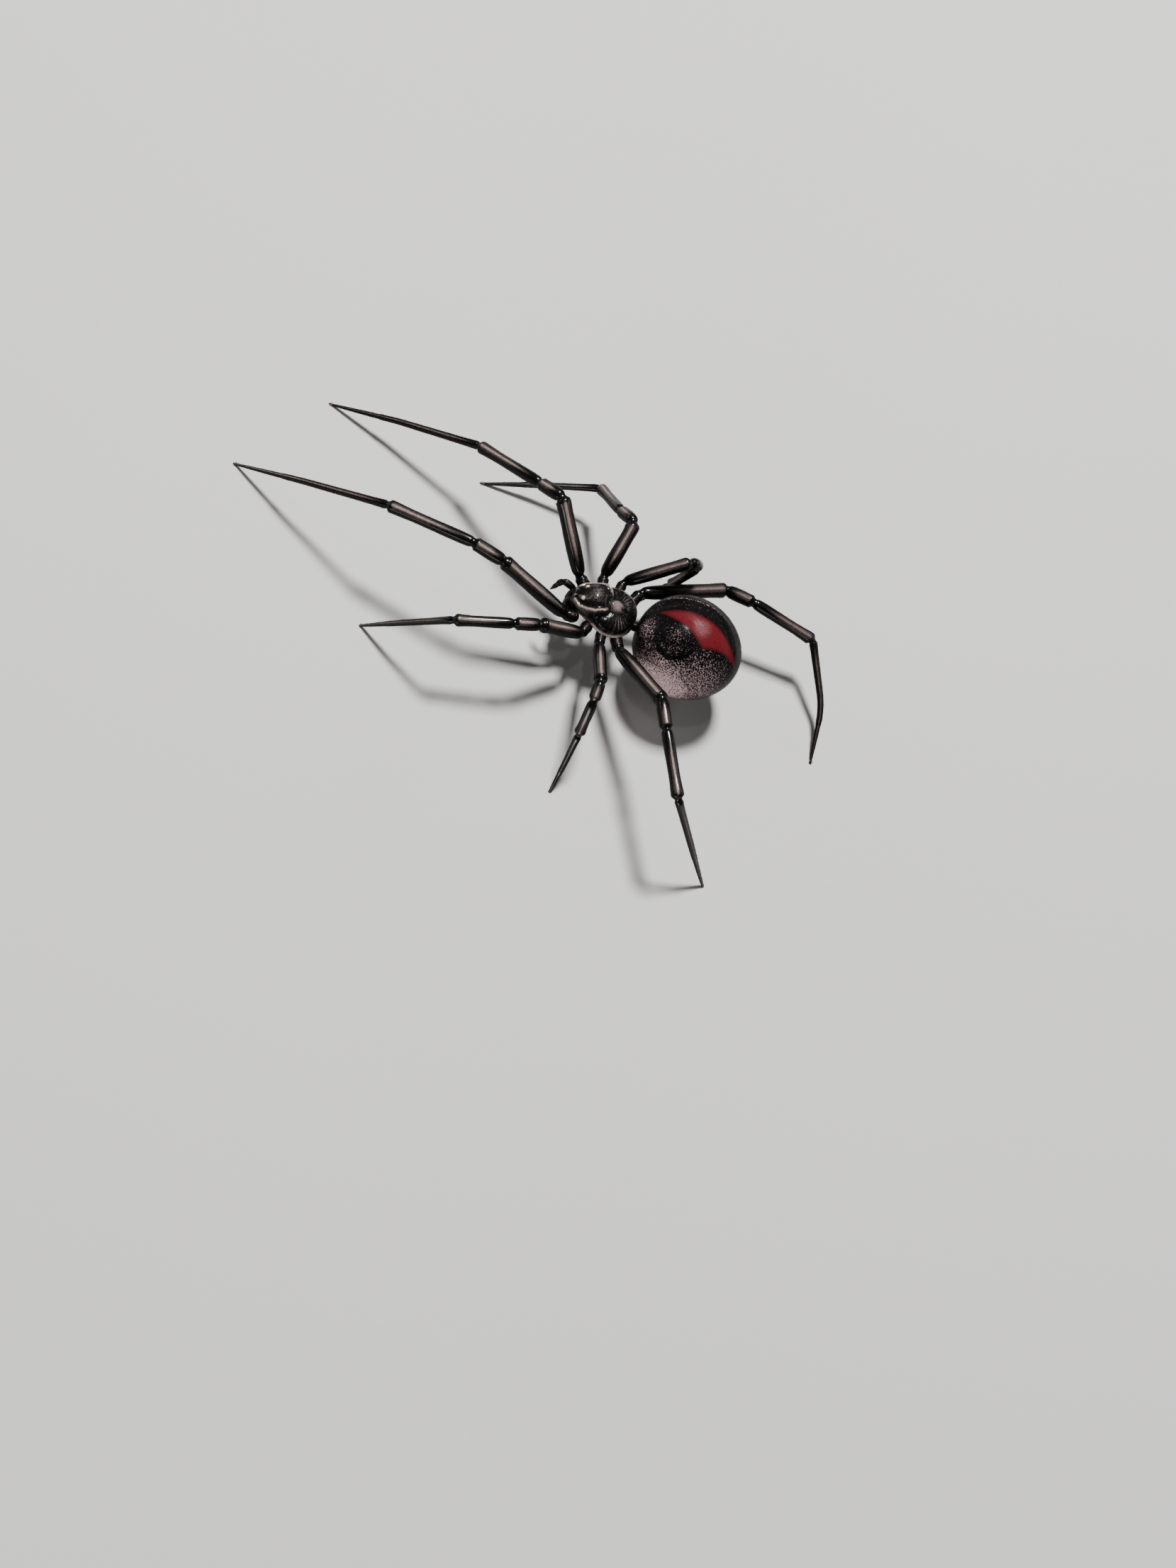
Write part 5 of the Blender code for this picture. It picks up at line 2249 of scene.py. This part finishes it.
@dataclass
class Studio:
    """A plain pale floor, soft lights and the camera at the photograph's angle."""

    lamps: tuple[Lamp, ...] = (
        Lamp("key", (-0.38, -0.07, 0.92), 0.42, (0.07, 0.07), 3.3),
        Lamp("overhead", (0.04, -0.10, 1.0), 0.42, (0.014, 0.014), 0.05),
        Lamp("left_glow", (1.0, -0.06, 0.1), 0.3, (0.24, 0.05), 0.42),
        Lamp("front_glow", (-0.2, -1.0, 0.3), 0.3, (0.12, 0.05), 0.08),
        Lamp("rear_strip", (-0.5, 0.78, 0.36), 0.35, (0.2, 0.05), 0.15),
    )
    lamps_face: Flat3 = (0.0, 0.0, 4.0)
    floor_width_m: float = 6.0
    floor_colours: tuple[Colour, Colour] = ((0.66, 0.645, 0.63), (0.70, 0.685, 0.67))
    floor_cloud: float = 60.0
    room_colour: Colour = (0.80, 0.82, 0.85)
    room_strength: float = 0.022
    image_width: float = 1659.0
    image_height: float = 2212.0
    focal_length: float = 100.0
    sensor: float = 36.0
    near_clip_m: float = 0.005
    pixels_per_mm: float = 20.2
    azimuth: float = 80.0
    elevation: float = 57.0
    roll: float = 33.0
    target: Flat3 = (0.0, 0.0, 4.6)
    target_pixel: Flat = (894.0, 877.0)

    def build(self) -> None:
        """Set the floor, the lights, the surroundings and the camera."""
        self._lay_floor()
        for lamp in self.lamps:
            self._hang(lamp)
        self._tint_world()
        self._set_camera()

    def _lay_floor(self) -> None:
        """Lay the floor and give it a plain pale finish."""
        deselect_all()
        bpy.ops.mesh.primitive_plane_add(size=self.floor_width_m)
        floor = take_primitive("floor")
        graph = Graph("floor_paper")
        cloud = graph.grain(graph.body_place(), self.floor_cloud, 1.0)
        floor.data.materials.append(graph.close(graph.mix(cloud, *self.floor_colours), 0.85))

    def _hang(self, lamp: Lamp) -> None:
        """Hang a light that faces the spider.

        Args:
            lamp: The light.
        """
        way = Vector(lamp.way)
        light = bpy.data.lights.new(lamp.name, "AREA")
        light.shape = "RECTANGLE"
        light.size, light.size_y = lamp.size
        light.energy = lamp.watts
        holder = bpy.data.objects.new(lamp.name, light)
        holder.location = placed(self.lamps_face) + way.normalized() * lamp.distance
        holder.rotation_euler = way.to_track_quat("Z", "Y").to_euler()
        bpy.context.collection.objects.link(holder)

    def _tint_world(self) -> None:
        """Surround the floor with plain pale light."""
        world = bpy.data.worlds.new("pale_room")
        world.use_nodes = True
        background = world.node_tree.nodes["Background"]
        background.inputs["Color"].default_value = (*self.room_colour, 1.0)
        background.inputs["Strength"].default_value = self.room_strength
        bpy.context.scene.world = world

    def _set_camera(self) -> None:
        """Place the camera so that its frame matches the photograph's."""
        focal = self.focal_length / self.sensor * self.image_height
        distance = focal / self.pixels_per_mm
        turn, lift, roll = (math.radians(angle) for angle in (self.azimuth, self.elevation, self.roll))
        back = Vector((math.sin(turn) * math.cos(lift), -math.cos(turn) * math.cos(lift), math.sin(lift)))
        level = Vector((math.cos(turn), math.sin(turn), 0.0))
        upright = back.cross(level)
        right = level * math.cos(roll) + upright * math.sin(roll)
        upward = upright * math.cos(roll) - level * math.sin(roll)
        shift_x = (self.target_pixel[0] - self.image_width / 2) / self.pixels_per_mm
        shift_y = (self.target_pixel[1] - self.image_height / 2) / self.pixels_per_mm
        place = Vector(self.target) + back * distance - right * shift_x + upward * shift_y
        lens = bpy.data.cameras.new("camera")
        lens.lens = self.focal_length
        lens.sensor_width = self.sensor
        lens.clip_start = self.near_clip_m
        camera = bpy.data.objects.new("camera", lens)
        turned = Matrix((right, upward, back)).transposed().to_4x4()
        camera.matrix_world = Matrix.Translation(placed(place)) @ turned
        bpy.context.collection.objects.link(camera)
        bpy.context.scene.camera = camera


def main() -> None:
    """Build the studio and every piece of the spider."""
    logging.basicConfig(level=logging.INFO, format="%(message)s")
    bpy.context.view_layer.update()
    Studio().build()
    leg_shell = ShellFinish("leg_cuticle").material()
    # The body's brown painted highlight is paler than the legs'.
    body_shell = ShellFinish("body_cuticle", warm=(0.2, 0.16, 0.155), shine=0.45).material()
    horn = HornFinish().material()
    bristle = SetaFinish().material()
    FrontBody(body_shell, bristle).build()
    Waist(body_shell).build()
    MouthFloor(body_shell).build()
    abdomen = Abdomen(AbdomenFinish().material(), bristle)
    abdomen.build()
    Spinnerets(body_shell, abdomen).build()
    pearly = EyeFinish("pearly_eye", pearl=(0.62, 0.55, 0.44)).material()
    dark = EyeFinish("dark_eye", pearl=(0.12, 0.09, 0.06)).material()
    Eyes(pearly, dark).build()
    for side in Side:
        Mouth(side, leg_shell, horn, bristle).build()
        for number in LEG_PAIRS:
            Leg(side, number, leg_shell, horn, bristle).build()


if __name__ == "__main__":
    main()
